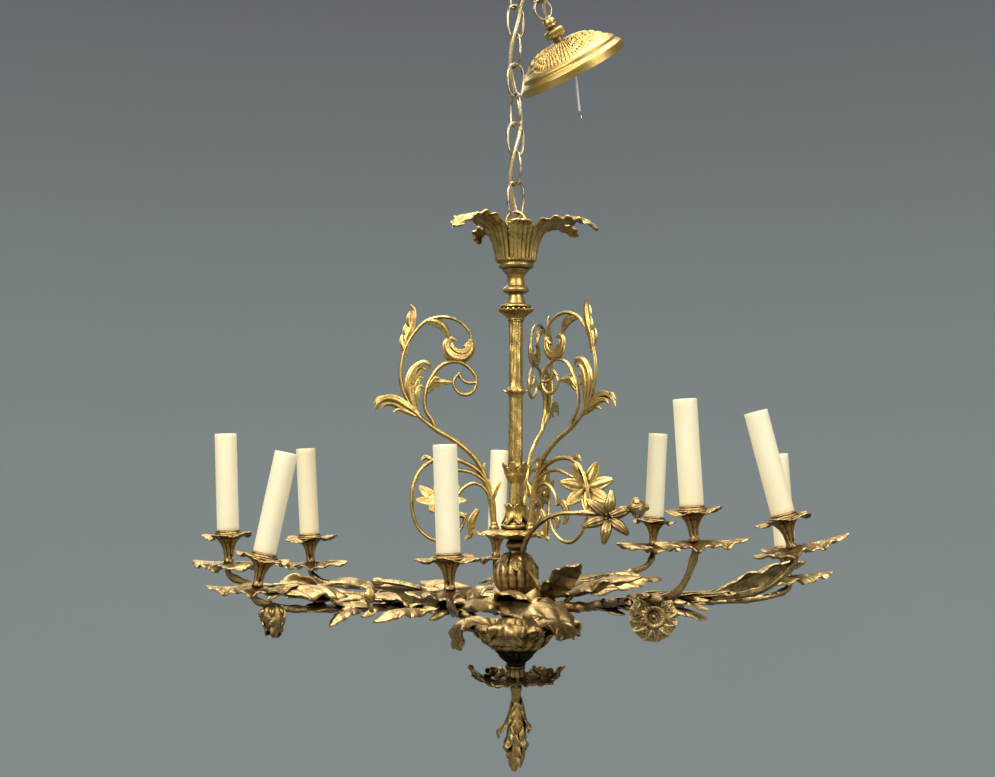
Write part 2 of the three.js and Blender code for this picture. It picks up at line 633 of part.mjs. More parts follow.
function lily() {
  const flower = aimed(star(6, 30, 12, 3), vec(0.1, -1, 0.1), vec(...LILY));
  const ball = new THREE.IcosahedronGeometry(8, 1).translate(...ROUND_BUD);
  const stalk = twig([[92, -101, -668], [106, -105, -664], [122, -108, -658]]);
  return [flower, rod(LILY_STEM.map((point) => vec(...point)), TWIG_RADIUS, 10, 5), ball, stalk];
}

const EXTRAS = [[], hangingBud(), [...rosette(), ...lily()]];

BRANCH_ANGLES.forEach((angle, i) => {
  const own = CANDLES.filter((candle) => candle.branch === i);
  const stalks = BRANCH_LEAVES[i].map((shape) => stalk(shape, own));
  const stems = [trunk(i), ...own.map(candleStem), ...stalks];
  const leaves = [...own.map(dripLeaf), ...BRANCH_LEAVES[i].map(branchLeaf)];
  piece(`branch_${i + 1}`, join([...stems, ...leaves, ...EXTRAS[i]]), darkGilt);
});

// ---------- candles ----------
// The trumpet cup with its scalloped pan. Its top is the seat of the sleeve.
function candleCup() {
  const trumpet = [[0, -CUP_HEIGHT], [5, -CUP_HEIGHT], [5, -30], [8.5, -25], [6.5, -18], [11, -9]];
  const pan = [[25, -6.5], [25.5, -4], [13, -5], [13, -GAP], [0, -GAP]];
  return lobed([...trumpet, ...pan], 12, 6, 0.14, 20);
}

// The paper sleeve, an open tube.
function sleeve() {
  const outer = [[SLEEVE_RADIUS, 0], [SLEEVE_RADIUS, SLEEVE_LENGTH]];
  return lathe([...outer, [SLEEVE_BORE, SLEEVE_LENGTH], [SLEEVE_BORE, 0], [SLEEVE_RADIUS, 0]], 14);
}

// The lamp socket on its nipple, inside the sleeve. Its mouth faces up.
function socket() {
  const shell = [[0, 0], [5, 0], [5, 40], [SOCKET_RADIUS, 44], [SOCKET_RADIUS, SOCKET_TOP]];
  const floor = SOCKET_TOP - SOCKET_DEPTH;
  return lathe([...shell, [SOCKET_BORE, SOCKET_TOP], [SOCKET_BORE, floor], [0, floor]], 8);
}

CANDLES.forEach((candle, i) => {
  const stand = group();
  stand.position.set(...candle.seat);
  stand.quaternion.setFromUnitVectors(UP, candleAxis(candle));
  piece(`candle_cup_${i + 1}`, candleCup(), gilt, stand);
  piece(`lamp_socket_${i + 1}`, socket(), ivory, stand);
  piece(`candle_sleeve_${i + 1}`, sleeve(), ivory, stand);
});

export default chandelier;
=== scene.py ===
# A nine-light foliate chandelier of aged gilt bronze, with its chain, hook and loose canopy.
# Metres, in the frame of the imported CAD: +Z up, X to the right, Y to the back, the origin on the ceiling.
import math
import random

import bpy
import numpy as np
from mathutils import Matrix, Vector, noise


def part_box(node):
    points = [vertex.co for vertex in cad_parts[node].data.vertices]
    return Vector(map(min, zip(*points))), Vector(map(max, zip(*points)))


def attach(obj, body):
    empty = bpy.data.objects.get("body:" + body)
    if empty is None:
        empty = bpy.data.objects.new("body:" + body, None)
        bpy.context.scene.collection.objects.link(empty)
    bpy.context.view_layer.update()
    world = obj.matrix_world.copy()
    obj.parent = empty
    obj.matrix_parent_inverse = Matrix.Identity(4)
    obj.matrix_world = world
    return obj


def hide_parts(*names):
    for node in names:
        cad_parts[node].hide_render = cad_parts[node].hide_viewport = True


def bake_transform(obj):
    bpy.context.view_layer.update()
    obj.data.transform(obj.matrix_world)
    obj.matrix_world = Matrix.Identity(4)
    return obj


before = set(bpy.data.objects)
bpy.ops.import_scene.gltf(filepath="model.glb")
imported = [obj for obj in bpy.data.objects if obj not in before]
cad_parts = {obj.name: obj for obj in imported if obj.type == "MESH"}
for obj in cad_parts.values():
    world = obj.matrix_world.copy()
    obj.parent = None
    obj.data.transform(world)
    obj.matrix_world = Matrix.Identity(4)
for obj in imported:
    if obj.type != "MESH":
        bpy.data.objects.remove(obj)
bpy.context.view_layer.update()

MM = 0.001
UP = np.array([0.0, 0.0, 1.0])
# Blender's noise starts from the clock, so a fixed number makes every run the same. This one is the second in
# which the export that was checked began, so the shapes stay as they were then.
noise.seed_set(1794911178)


def mm(values):
    """Millimetres as metres."""
    return np.array(values, dtype=float) * MM


# ---------- sizes that the CAD model has too ----------
CHAIN_TURN = 31  # degrees from X to the plane of the odd links
CANOPY_ANGLE = 33  # degrees from straight down to the canopy's axis
CANOPY_SIDE = mm(5.5)
SLANT_Z = mm(-45.065)  # on the hook's wire, where the canopy's links hang
FIRST_DROP = mm(-13.7)  # from there down to the middle of the first of them
LOOP_Z = mm(-60.85)  # the top of the canopy's loop, down that slanting line
LINK_REACH = mm(18)
LINK_BEND = mm(10)
LINK_WIRE = mm(3)
LINK_PITCH = mm(32.7)
LINKS = 9
CORD_DIAMETER = mm(4.2)
CORD_ORBIT = mm(5.7)
LEAD_DIAMETER = mm(3)
CUP_HEIGHT = 34
SLEEVE_LENGTH = 101.6

# Each candle: where its sleeve stands (mm), how its top leans (degrees towards +X, +Y), the direction of
# the drip leaf under it in degrees, how far that leaf is pushed outwards (mm), how much it climbs towards
# its tip, and its branch.
CANDLES = [
    ((-305, -42, -683), (-2, 0), 155, 0, 0.0, 1),
    ((-252, -140, -702), (12, 0), 188, 4, -0.02, 1),
    ((-245, 181, -695), (-3, 0), 172, 0, -0.03, 0),
    ((-66, -235, -698), (-2, 0), 205, 0, -0.05, 1),
    ((-21, 320, -695), (2, 2), 80, 4, 0.0, 0),
    ((172, 226, -676), (3, 0), 8, 0, -0.04, 0),
    ((165, -212, -654), (-3.4, 0), -10, 8, 0.05, 2),
    ((256, -187, -662), (-14.5, 0), -6, 8, 0.24, 2),
    ((298, 38, -703), (-4, 0), 12, 8, 0.08, 2),
]
BRANCH_ANGLES = [96, 214, 328]
FORK_REACH = 85
STEM_Z = -766
HUB_RADIUS = 18
BRACKET_ANGLES = [190, 310, 70]

# Frames of the hanging parts: the chain's, and the canopy's on its slanting line.
CHAIN = Matrix.Rotation(math.radians(CHAIN_TURN), 4, "Z")
SLANT_TILT = Matrix.Rotation(math.radians(-CANOPY_ANGLE), 4, "Y")
SLANT = CHAIN @ Matrix.Translation((0, CANOPY_SIDE, SLANT_Z)) @ SLANT_TILT
CANOPY = SLANT @ Matrix.Translation((0, 0, LOOP_Z))


# ---------- curves ----------
def unit(vectors):
    lengths = np.linalg.norm(vectors, axis=-1, keepdims=True)
    return vectors / np.maximum(lengths, 1e-12)


def polar(radius, degrees, z):
    return [radius * math.cos(math.radians(degrees)), radius * math.sin(math.radians(degrees)), z]


def around(line, degrees):
    """Points (radius, z) of a line, set in an upright plane at an angle about the Z axis."""
    return [polar(radius, degrees, z) for radius, z in line]


def turned(degrees, z=0.0):
    """The matrix that turns about the Z axis, in degrees, and lifts, in mm."""
    return Matrix.Translation((0, 0, mm(z))) @ Matrix.Rotation(math.radians(degrees), 4, "Z")


def moved(matrix, points):
    """Points through a 4x4 matrix."""
    m = np.array(matrix)
    return np.asarray(points, dtype=float) @ m[:3, :3].T + m[:3, 3]


def aim(direction, place=(0, 0, 0), turn=0.0):
    """The matrix that turns +Z to a direction, after a turn about Z in degrees, and moves to a place."""
    swing = Vector((0, 0, 1)).rotation_difference(Vector(direction)).to_matrix().to_4x4()
    return Matrix.Translation(Vector(place)) @ swing @ Matrix.Rotation(math.radians(turn), 4, "Z")


def even(points, count):
    """A polyline sampled at equal steps."""
    steps = np.linalg.norm(np.diff(points, axis=0), axis=1)
    reach = np.concatenate([[0], np.cumsum(steps)])
    wanted = np.linspace(0, reach[-1], count)
    return np.column_stack([np.interp(wanted, reach, column) for column in points.T])


def smooth(points, count):
    """A smooth curve through points, centripetal as the CAD model's, sampled at equal steps."""
    p = np.asarray(points, dtype=float)
    p = np.vstack([2 * p[0] - p[1], p, 2 * p[-1] - p[-2]])
    share = np.linspace(0, 1, 16, endpoint=False)[:, None]
    out = []
    for a, b, c, d in zip(p, p[1:], p[2:], p[3:]):
        t0, t1, t2 = (max(np.linalg.norm(v) ** 0.5, 1e-6) for v in (b - a, c - b, d - c))
        m1 = ((b - a) / t0 - (c - a) / (t0 + t1) + (c - b) / t1) * t1
        m2 = ((c - b) / t1 - (d - b) / (t1 + t2) + (d - c) / t2) * t1
        square, cube = share**2, share**3
        out.append(
            (2 * cube - 3 * square + 1) * b + (cube - 2 * square + share) * m1
            + (3 * square - 2 * cube) * c + (cube - square) * m2
        )
    out.append(p[-2][None, :])
    return even(np.vstack(out), count)


def frames_along(path, up=UP):
    """Tangents, sides and faces along a path, which turn as little as they can."""
    tangents = unit(np.gradient(path, axis=0))
    side = np.cross(up, tangents[0])
    if np.linalg.norm(side) < 1e-3:
        side = np.cross([1.0, 0.2, 0.0], tangents[0])
    sides = []
    for tangent in tangents:
        side = side - tangent * side.dot(tangent)
        side = side / np.linalg.norm(side)
        sides.append(side)
    sides = np.array(sides)
    return tangents, sides, np.cross(tangents, sides)


def rounded(profile, cut):
    """A turned outline (mm) with each inner corner eased over a short length."""
    p = [np.array(point, dtype=float) for point in profile]
    out = [p[0]]
    for before, corner, after in zip(p, p[1:], p[2:]):
        back, on = before - corner, after - corner
        back = back * min(cut / np.linalg.norm(back), 0.45)
        on = on * min(cut / np.linalg.norm(on), 0.45)
        for t in (0.0, 0.33, 0.67, 1.0):
            out.append(corner + (1 - t) ** 2 * back + t**2 * on)
    out.append(p[-1])
    return np.array(out)


def fine(profile, step):
    """An outline with no segment longer than a step."""
    out = [profile[0]]
    for a, b in zip(profile, profile[1:]):
        count = max(1, math.ceil(np.linalg.norm(b - a) / step))
        out.extend(a + (b - a) * i / count for i in range(1, count + 1))
    return np.array(out)


# ---------- shapes: each gives points in metres, and faces ----------
def quads(rows, columns, wrap_rows=False, wrap_columns=False):
    made = []
    for i in range(rows if wrap_rows else rows - 1):
        below, above = i * columns, ((i + 1) % rows) * columns
        for j in range(columns if wrap_columns else columns - 1):
            k = (j + 1) % columns
            made.append((below + j, below + k, above + k, above + j))
    return made


def tube(path, radius, sides=14, up=UP, section=None, flat=1.0):
    """A closed tube along a path. The radius may change along it, and section(angle, share) shapes it."""
    rows = len(path)
    share = np.linspace(0, 1, rows)[:, None]
    radii = np.broadcast_to(np.asarray(radius, dtype=float).reshape(-1, 1), (rows, 1))
    angle = np.linspace(0, 2 * math.pi, sides, endpoint=False)[None, :]
    reach = radii * (section(angle, share) if section else np.ones((rows, sides)))
    _, side, face = frames_along(path, up)
    points = path[:, None, :] + (reach * np.cos(angle))[..., None] * side[:, None, :]
    points = points + (reach * np.sin(angle) * flat)[..., None] * face[:, None, :]
    faces = quads(rows, sides, wrap_columns=True)
    faces.append(tuple(range(sides))[::-1])
    faces.append(tuple(range((rows - 1) * sides, rows * sides)))
    return points.reshape(-1, 3), faces


def hoop(path, normal, radius, sides=14, section=None):
    """A closed ring of wire along a flat closed path."""
    tangents = unit(np.roll(path, -1, axis=0) - np.roll(path, 1, axis=0))
    normal = np.broadcast_to(np.asarray(normal, dtype=float), path.shape)
    outward = np.cross(tangents, normal)
    angle = np.linspace(0, 2 * math.pi, sides, endpoint=False)[None, :]
    share = np.linspace(0, 1, len(path), endpoint=False)[:, None]
    reach = radius * (section(angle, share) if section else np.ones((len(path), sides)))
    points = path[:, None, :] + (reach * np.cos(angle))[..., None] * outward[:, None, :]
    points = points - (reach * np.sin(angle))[..., None] * normal[:, None, :]
    return points.reshape(-1, 3), quads(len(path), sides, wrap_rows=True, wrap_columns=True)


def lathe(profile, sides=64, relief=None, closed=False):
    """A turned piece. The outline runs up its outside (mm), and relief(angle, radius, z) swells it."""
    rings = np.array([p for p in profile if p[0] > 0.02], dtype=float)
    angle = np.linspace(0, 2 * math.pi, sides, endpoint=False)[None, :]
    radius, z = rings[:, :1], np.broadcast_to(rings[:, 1:], (len(rings), sides))
    radius = np.broadcast_to(radius, z.shape)
    if relief:
        swell, lift = relief(angle, radius, z)
        radius, z = radius + swell, z + lift
    points = np.stack([radius * np.cos(angle), radius * np.sin(angle), z], axis=-1) * MM
    faces = quads(len(rings), sides, wrap_rows=closed, wrap_columns=True)
    if not closed:
        faces.append(tuple(range(sides))[::-1])
        faces.append(tuple(range((len(rings) - 1) * sides, len(rings) * sides)))
    return points.reshape(-1, 3), faces


def flutes(count, depth, low, high, power=1.0):
    """Relief of ribs between two heights, fading out at both."""
    def relief(angle, radius, z):
        fade = np.clip((z - low) / 2, 0, 1) * np.clip((high - z) / 2, 0, 1)
        rib = np.abs(np.cos(count * angle / 2)) ** power
        return -depth * (1 - rib) * fade, np.zeros_like(z)
    return relief


def sheet(middle, thickness):
    """A grid of points (mm) made into a closed sheet with rounded edges."""
    rows, columns = middle.shape[:2]
    along, across = np.gradient(middle, axis=0), np.gradient(middle, axis=1)
    normal = unit(np.cross(along, across))
    half = np.broadcast_to(thickness / 2, (rows, columns))[..., None]
    rim = 0.9 * half * unit(across)
    left, right = middle[:, :1] - rim[:, :1], middle[:, -1:] + rim[:, -1:]
    ring = np.concatenate([left, middle + half * normal, right, (middle - half * normal)[:, ::-1]], axis=1)
    around = 2 * columns + 2
    faces = [f[::-1] for f in quads(rows, around, wrap_columns=True)]
    for start, flip in ((0, 1), ((rows - 1) * around, -1)):
        end = start + around
        faces.append((start, start + 1, end - 1)[::flip])
        faces.append((start + columns, start + columns + 1, start + columns + 2)[::flip])
        for j in range(1, columns):
            faces.append((start + j, start + j + 1, end - j - 1, end - j)[::flip])
    return ring.reshape(-1, 3) * MM, faces


def leaf(
    spine, width, up=UP, lobes=4, notch=0.2, cup=0.0, wave=0.08, sweep=0.7, ribs=0.05,
    thickness=2.6, blunt=0.12, skew=0.8, rows=56, columns=17, seed=0,
):
    """A cast acanthus leaf along a spine (mm): lobes that point ahead with small round teeth, a midrib,
    a swelling down each lobe, and a waved margin. cup bends its edges away from the side up."""
    path = smooth(spine, rows)
    t = np.linspace(0, 1, rows)[:, None]
    s = np.linspace(-1, 1, columns)[None, :]
    tangents = unit(np.gradient(path, axis=0))
    side = unit(np.cross(np.asarray(up, dtype=float), tangents))
    face = np.cross(tangents, side)
    phase = (lobes * t + 0.17 * (s > 0) + 0.29 * seed) % 1.0
    lobe = 1 - notch * (1 - np.sin(math.pi * phase**1.6) ** 0.5)
    tooth = 1 - 0.05 * (1 - np.abs(np.sin(3 * math.pi * phase)))
    half = width / 2 * (blunt + (1 - blunt) * np.sin(math.pi * t**skew) ** 0.7)
    reach = half * (1 + (lobe * tooth - 1) * np.abs(s) ** 1.6)
    ahead = sweep * reach * np.abs(s) ** 1.4 * (1 - t) ** 0.4
    swell = ribs * np.cos(2 * math.pi * (phase - 0.55)) * np.abs(s) ** 0.8
    midrib = 1.7 * ribs * np.exp(-((s / 0.14) ** 2)) * (1 - 0.6 * t)
    margin = wave * np.sin(math.pi * lobes * t + 1.7 * seed + 1.3 * (s > 0)) * s**2
    lift = half * (swell + midrib + margin - cup * s**2)
    middle = path[:, None, :] + (s * reach)[..., None] * side[:, None, :]
    middle = middle + ahead[..., None] * tangents[:, None, :] + lift[..., None] * face[:, None, :]
    return sheet(middle, thickness * (1 - 0.25 * t) + 0 * s)


def petal(reach, width, rise=0.0, curl=0.0, tip=0.15, ribs=3, thickness=1.8, start=4.0, rows=22, columns=13):
    """A petal that lies along +X with +Z as its face, with grooves down it. rise lifts its end."""
    t = np.linspace(0, 1, rows)[:, None]
    s = np.linspace(-1, 1, columns)[None, :]
    half = width / 2 * (tip + (1 - tip) * np.sin(math.pi * np.clip(0.1 + 0.9 * t, 0, 1) ** 0.85) ** 0.75)
    groove = 0.06 * half * np.cos(ribs * math.pi * s) * np.sin(math.pi * t) ** 0.5
    x = start + (reach - start) * t + 0 * s
    z = rise * t**1.6 + curl * s**2 * half + groove
    return sheet(np.stack([x, s * half, z], axis=-1), np.array(thickness))


def frond(path, width, up, thin=0.5, flat=0.6):
    """One tongue of a scrolling spray (mm): a flattened tube with five grooves, swelling to a hooked tip."""
    line = np.array(path, dtype=float)
    length = np.linalg.norm(np.diff(line, axis=0), axis=1).sum()
    count = max(16, int(length))
    t = np.linspace(0, 1, count)
    swell = 0.5 + 0.5 * np.sin(math.pi * t**0.9)
    radii = mm(width / 2 * swell * (1 - (1 - thin) * t**3) * np.sqrt(1 - 0.96 * t**24) + 0.5 * thin * t**4)
    cut = lambda turn, along: 1 + 0.15 * np.cos(5 * turn)
    return tube(smooth(mm(line), count), radii, 24, up=up, section=cut, flat=flat)


def ball(centre, radius, stretch=(1, 1, 1), rings=12, sides=18):
    """A round bead (mm)."""
    angles = np.linspace(-math.pi / 2 + 0.12, math.pi / 2 - 0.12, rings)
    points, faces = lathe([(math.cos(a) * radius, math.sin(a) * radius) for a in angles], sides)
    return points * np.array(stretch) + mm(centre), faces


class Form:
    """Shapes gathered into the mesh of one piece."""

    def __init__(self):
        self.points = []
        self.faces = []
        self.count = 0

    def add(self, shape, matrix=None):
        points, faces = shape
        self.points.append(points if matrix is None else moved(matrix, points))
        self.faces.extend(tuple(i + self.count for i in face) for face in faces)
        self.count += len(points)
        return self

    def rough(self, size, scale, seed=0):
        """Uneven casting: moves every point by a smooth noise."""
        points = np.concatenate(self.points)
        shift = Vector((seed * 3.7, seed * 1.9, seed * 5.3))
        moves = [noise.noise_vector(Vector(p) * scale + shift) for p in points]
        self.points = [points + np.array(moves) * size * MM]
        return self

    def piece(self, name, material, body, slot, nodes, matrix=None, sharp=42):
        """The mesh as an object that rides on a body and stands for CAD nodes."""
        points = np.concatenate(self.points)
        mesh = bpy.data.meshes.new(name)
        mesh.from_pydata((points if matrix is None else moved(matrix, points)).tolist(), [], self.faces)
        mesh.materials.append(material)
        mesh.polygons.foreach_set("use_smooth", [True] * len(mesh.polygons))
        mesh.set_sharp_from_angle(angle=math.radians(sharp))
        mesh.update()
        made = bpy.data.objects.new(name, mesh)
        bpy.context.scene.collection.objects.link(made)
        if body:
            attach(made, body)
        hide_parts(*nodes)
        return made


# ---------- materials ----------
class Shader:
    """A material under construction, with short calls for the nodes it uses."""

    def __init__(self, name, **sockets):
        self.material = bpy.data.materials.new(name)
        self.material.use_nodes = True
        self.tree = self.material.node_tree
        self.shader = self.tree.nodes["Principled BSDF"]
        for socket, value in sockets.items():
            self.shader.inputs[socket.replace("_", " ")].default_value = value
        coordinates = self.node("ShaderNodeTexCoord")
        self.place = coordinates.outputs["Object"]
        self.turned = coordinates.outputs["Normal"]

    def node(self, kind, **settings):
        made = self.tree.nodes.new(kind)
        for key, value in settings.items():
            setattr(made, key, value)
        return made

    def put(self, value, socket):
        if isinstance(value, bpy.types.NodeSocket):
            self.tree.links.new(value, socket)
        else:
            socket.default_value = value

    def noise(self, scale, detail=3.0, roughness=0.5, stretch=None):
        made = self.node("ShaderNodeTexNoise")
        place = self.place
        if stretch:
            mapping = self.node("ShaderNodeMapping")
            mapping.inputs["Scale"].default_value = stretch
            self.put(place, mapping.inputs["Vector"])
            place = mapping.outputs["Vector"]
        self.put(place, made.inputs["Vector"])
        made.inputs["Scale"].default_value = scale
        made.inputs["Detail"].default_value = detail
        made.inputs["Roughness"].default_value = roughness
        return made.outputs["Fac"]

    def ramp(self, value, stops):
        made = self.node("ShaderNodeValToRGB")
        elements = made.color_ramp.elements
        while len(elements) < len(stops):
            elements.new(0.5)
        for element, (position, colour) in zip(elements, stops):
            element.position = position
            element.color = (*colour, 1) if isinstance(colour, tuple) else (colour, colour, colour, 1)
        self.put(value, made.inputs["Fac"])
        return made.outputs["Color"]

    def mix(self, factor, a, b, blend="MIX"):
        made = self.node("ShaderNodeMix", data_type="RGBA", blend_type=blend)
        self.put(factor, made.inputs[0])
        self.put((*a, 1) if isinstance(a, tuple) else a, made.inputs[6])
        self.put((*b, 1) if isinstance(b, tuple) else b, made.inputs[7])
        return made.outputs[2]

    def math(self, operation, a, b=0.0):
        made = self.node("ShaderNodeMath", operation=operation)
        self.put(a, made.inputs[0])
        self.put(b, made.inputs[1])
        return made.outputs[0]

    def exposed(self):
        """0 in a hollow and 1 on an edge, from the shape itself."""
        return self.ramp(self.node("ShaderNodeNewGeometry").outputs["Pointiness"], [(0.42, 0.0), (0.58, 1.0)])

    def facing(self, sign, full):
        """0 where the surface is upright, rising to 1 where it looks up (sign 1) or down (sign -1)."""
        parts = self.node("ShaderNodeSeparateXYZ")
        self.put(self.turned, parts.inputs[0])
        return self.ramp(self.math("MULTIPLY", parts.outputs["Z"], float(sign)), [(0.0, 0.0), (full, 1.0)])

    def open(self, distance):
        """0 deep in a crevice and 1 in the open."""
        made = self.node("ShaderNodeAmbientOcclusion", samples=4)
        made.inputs["Distance"].default_value = distance
        return made.outputs["AO"]

    def finish(self, colour, roughness, height, bump, strength=0.6):
        self.put(colour, self.shader.inputs["Base Color"])
        self.put(roughness, self.shader.inputs["Roughness"])
        made = self.node("ShaderNodeBump")
        made.inputs["Strength"].default_value = strength
        made.inputs["Distance"].default_value = bump
        self.put(height, made.inputs["Height"])
        self.put(made.outputs["Normal"], self.shader.inputs["Normal"])
        return self.material


def bronze(name, light, middle, dark, rough=(0.24, 0.5), grain=0.0006):
    """Aged gilding with painted light: edges pale from rubbing and a painted highlight, upper faces pale with
    painted light from above, brown at the sides, dark below with painted shade, and dark in the hollows from
    patina and painted shade.
    """
    s = Shader(name, Metallic=1.0)
    patches = s.noise(38, 5, 0.62)
    streaks = s.noise(150, 4, 0.6, stretch=(1, 1, 0.35))
    grains = s.noise(800, 4, 0.65)
    body = s.mix(s.ramp(streaks, [(0.44, 0.0), (0.66, 0.8)]), middle, light)
    body = s.mix(s.ramp(patches, [(0.4, 0.0), (0.62, 0.9)]), body, middle)
    # Edges lighter: partly rubbed wear, partly a painted highlight.
    edge_wear_and_painted_light = s.mix(s.math("MULTIPLY", s.exposed(), 0.8), body, light)
    # Upper faces lighter: painted light from above.
    edge_wear_and_painted_light = s.mix(s.math("MULTIPLY", s.facing(1, 0.8), 0.5), edge_wear_and_painted_light, light)
    # Faces that look down go dark: painted shade under things.
    under = s.math("MULTIPLY", s.facing(-1, 0.8), s.ramp(s.noise(60, 5, 0.7), [(0.3, 0.6), (0.6, 0.95)]))
    colour = s.mix(under, edge_wear_and_painted_light, dark)
    blotch = s.math("MULTIPLY", s.ramp(s.noise(95, 6, 0.75), [(0.5, 0.0), (0.64, 1.0)]), 0.55)
    colour = s.mix(blotch, colour, dark)
    # Hollows go dark: patina there, and painted shade from the ambient occlusion.
    hollow = s.ramp(s.open(0.012), [(0.32, 0.0), (0.86, 1.0)])
    colour = s.mix(hollow, dark, colour)
    specks = s.ramp(s.noise(420, 2), [(0.3, 0.45), (0.42, 1.0)])
    colour = s.mix(1.0, colour, specks, "MULTIPLY")
    roughness = s.math("ADD", s.math("MULTIPLY", patches, rough[1] - rough[0]), rough[0])
    roughness = s.math("ADD", roughness, s.math("MULTIPLY", blotch, 0.3))
    height = s.math("ADD", s.math("MULTIPLY", grains, 0.6), streaks)
    return s.finish(colour, roughness, height, grain)


GILT = bronze("aged_gilt_bronze", (0.96, 0.70, 0.25), (0.46, 0.265, 0.052), (0.075, 0.036, 0.007))
DARK_GILT = bronze(
    "brown_gilt_bronze", (0.70, 0.49, 0.205), (0.17, 0.090, 0.021), (0.027, 0.013, 0.0035), (0.25, 0.52),
    0.0009,
)
UMBER_GILT = bronze(
    "umber_gilt_bronze", (0.70, 0.475, 0.185), (0.165, 0.082, 0.015), (0.028, 0.012, 0.0025), (0.26, 0.55)
)
BLACK_BRONZE = bronze(
    "blackened_bronze", (0.09, 0.066, 0.045), (0.028, 0.02, 0.014), (0.008, 0.006, 0.004), (0.3, 0.5)
)


def chain_brass():
    """Pale antiqued brass wire, with painted shade in its crevices and where it touches other parts."""
    s = Shader("antique_brass_wire", Metallic=1.0)
    cloud = s.noise(120, 4, 0.6)
    drawn = s.noise(1400, 2, 0.5)
    colour = s.mix(s.ramp(cloud, [(0.35, 0.0), (0.65, 1.0)]), (0.25, 0.19, 0.10), (0.60, 0.51, 0.33))
    # Painted shade: darker where the wire is hemmed in by other parts.
    colour = s.mix(s.ramp(s.open(0.004), [(0.3, 0.0), (0.8, 1.0)]), (0.06, 0.045, 0.02), colour)
    roughness = s.math("ADD", s.math("MULTIPLY", cloud, 0.3), 0.16)
    return s.finish(colour, roughness, drawn, 0.00008)


def lacquered_brass():
    """The canopy's bright lacquered brass, with painted shade that makes it a little brown in its relief."""
    s = Shader("lacquered_brass", Metallic=1.0, Coat_Weight=0.15, Coat_Roughness=0.25)
    cloud = s.noise(60, 4, 0.55)
    colour = s.mix(s.ramp(cloud, [(0.35, 0.0), (0.7, 1.0)]), (0.57, 0.395, 0.125), (0.43, 0.265, 0.07))
    # Painted shade: darker deep in the relief.
    colour = s.mix(s.ramp(s.open(0.005), [(0.35, 0.0), (0.9, 1.0)]), (0.09, 0.045, 0.01), colour)
    roughness = s.math("ADD", s.math("MULTIPLY", cloud, 0.22), 0.32)
    return s.finish(colour, roughness, s.noise(800, 3, 0.6), 0.0001)


def hook_steel():
    s = Shader("plated_steel", Metallic=1.0)
    cloud = s.noise(90, 4, 0.6)
    colour = s.mix(s.ramp(cloud, [(0.35, 0.0), (0.7, 1.0)]), (0.46, 0.45, 0.43), (0.28, 0.27, 0.25))
    roughness = s.math("ADD", s.math("MULTIPLY", cloud, 0.3), 0.22)
    return s.finish(colour, roughness, s.noise(1100, 2, 0.5), 0.00008)


def ivory_sleeve():
    """Ivory candle sleeve: warm, softly glossy, a little uneven and yellowed, with hair-fine marks."""
    s = Shader("ivory_sleeve", Coat_Weight=0.25, Coat_Roughness=0.22, Subsurface_Weight=0.12)
    s.shader.inputs["Subsurface Radius"].default_value = (0.004, 0.0025, 0.0012)
    s.shader.inputs["Subsurface Scale"].default_value = 0.6
    stain = s.noise(26, 4, 0.55, stretch=(1, 1, 0.5))
    fleck = s.ramp(s.noise(700, 2, 0.5), [(0.24, 0.82), (0.33, 1.0)])
    colour = s.mix(s.ramp(stain, [(0.35, 0.0), (0.72, 1.0)]), (0.98, 0.87, 0.60), (0.94, 0.79, 0.49))
    colour = s.mix(1.0, colour, fleck, "MULTIPLY")
    roughness = s.math("ADD", s.math("MULTIPLY", stain, 0.2), 0.3)
    return s.finish(colour, roughness, s.noise(240, 3, 0.5, stretch=(1, 1, 0.15)), 0.00012, 0.35)


def socket_card():
    """The lamp socket's grey-brown card, used for its screw shell too."""
    s = Shader("lamp_socket_card")
    fibre = s.noise(500, 4, 0.6)
    colour = s.mix(fibre, (0.30, 0.24, 0.17), (0.52, 0.44, 0.33))
    return s.finish(colour, s.math("ADD", s.math("MULTIPLY", fibre, 0.3), 0.5), fibre, 0.0001)


def gold_cord():
    """Clear gold lamp cord: a bright wire twist seen through amber plastic."""
    s = Shader("clear_gold_cord", Metallic=0.35, Coat_Weight=0.9, Coat_Roughness=0.08)
    twist = s.noise(900, 2, 0.5, stretch=(1, 1, 0.6))
    colour = s.mix(s.ramp(twist, [(0.4, 0.0), (0.6, 1.0)]), (0.40, 0.27, 0.095), (0.74, 0.58, 0.28))
    return s.finish(colour, s.math("ADD", s.math("MULTIPLY", twist, 0.25), 0.2), twist, 0.00012)


def white_plastic():
    s = Shader("white_lead", Coat_Weight=0.2, Coat_Roughness=0.2)
    grime = s.noise(160, 4, 0.6)
    colour = s.mix(s.ramp(grime, [(0.4, 0.0), (0.75, 1.0)]), (0.92, 0.92, 0.90), (0.74, 0.72, 0.66))
    return s.finish(colour, s.math("ADD", s.math("MULTIPLY", grime, 0.25), 0.3), grime, 0.00006)


def bare_copper():
    s = Shader("tinned_copper", Metallic=1.0)
    strand = s.noise(1500, 2, 0.5)
    colour = s.mix(strand, (0.62, 0.42, 0.28), (0.75, 0.70, 0.62))
    return s.finish(colour, s.math("ADD", s.math("MULTIPLY", strand, 0.2), 0.25), strand, 0.0001)


CHAIN_BRASS = chain_brass()
LACQUERED = lacquered_brass()
STEEL = hook_steel()
IVORY = ivory_sleeve()
SOCKET = socket_card()
CORD = gold_cord()
WHITE = white_plastic()
COPPER = bare_copper()


# ---------- camera ----------
def camera():
    """At the photograph's angle: a little below the crown, looking level and slightly up."""
    data = bpy.data.cameras.new("camera")
    data.lens = 57.9
    data.sensor_width = 36
    data.clip_start, data.clip_end = 0.05, 60
    made = bpy.data.objects.new("camera", data)
    made.location = (-0.020, -1.740, -0.625)
    made.rotation_euler = (math.radians(90 + 3.09), 0, 0)
    bpy.context.scene.collection.objects.link(made)
    bpy.context.scene.camera = made


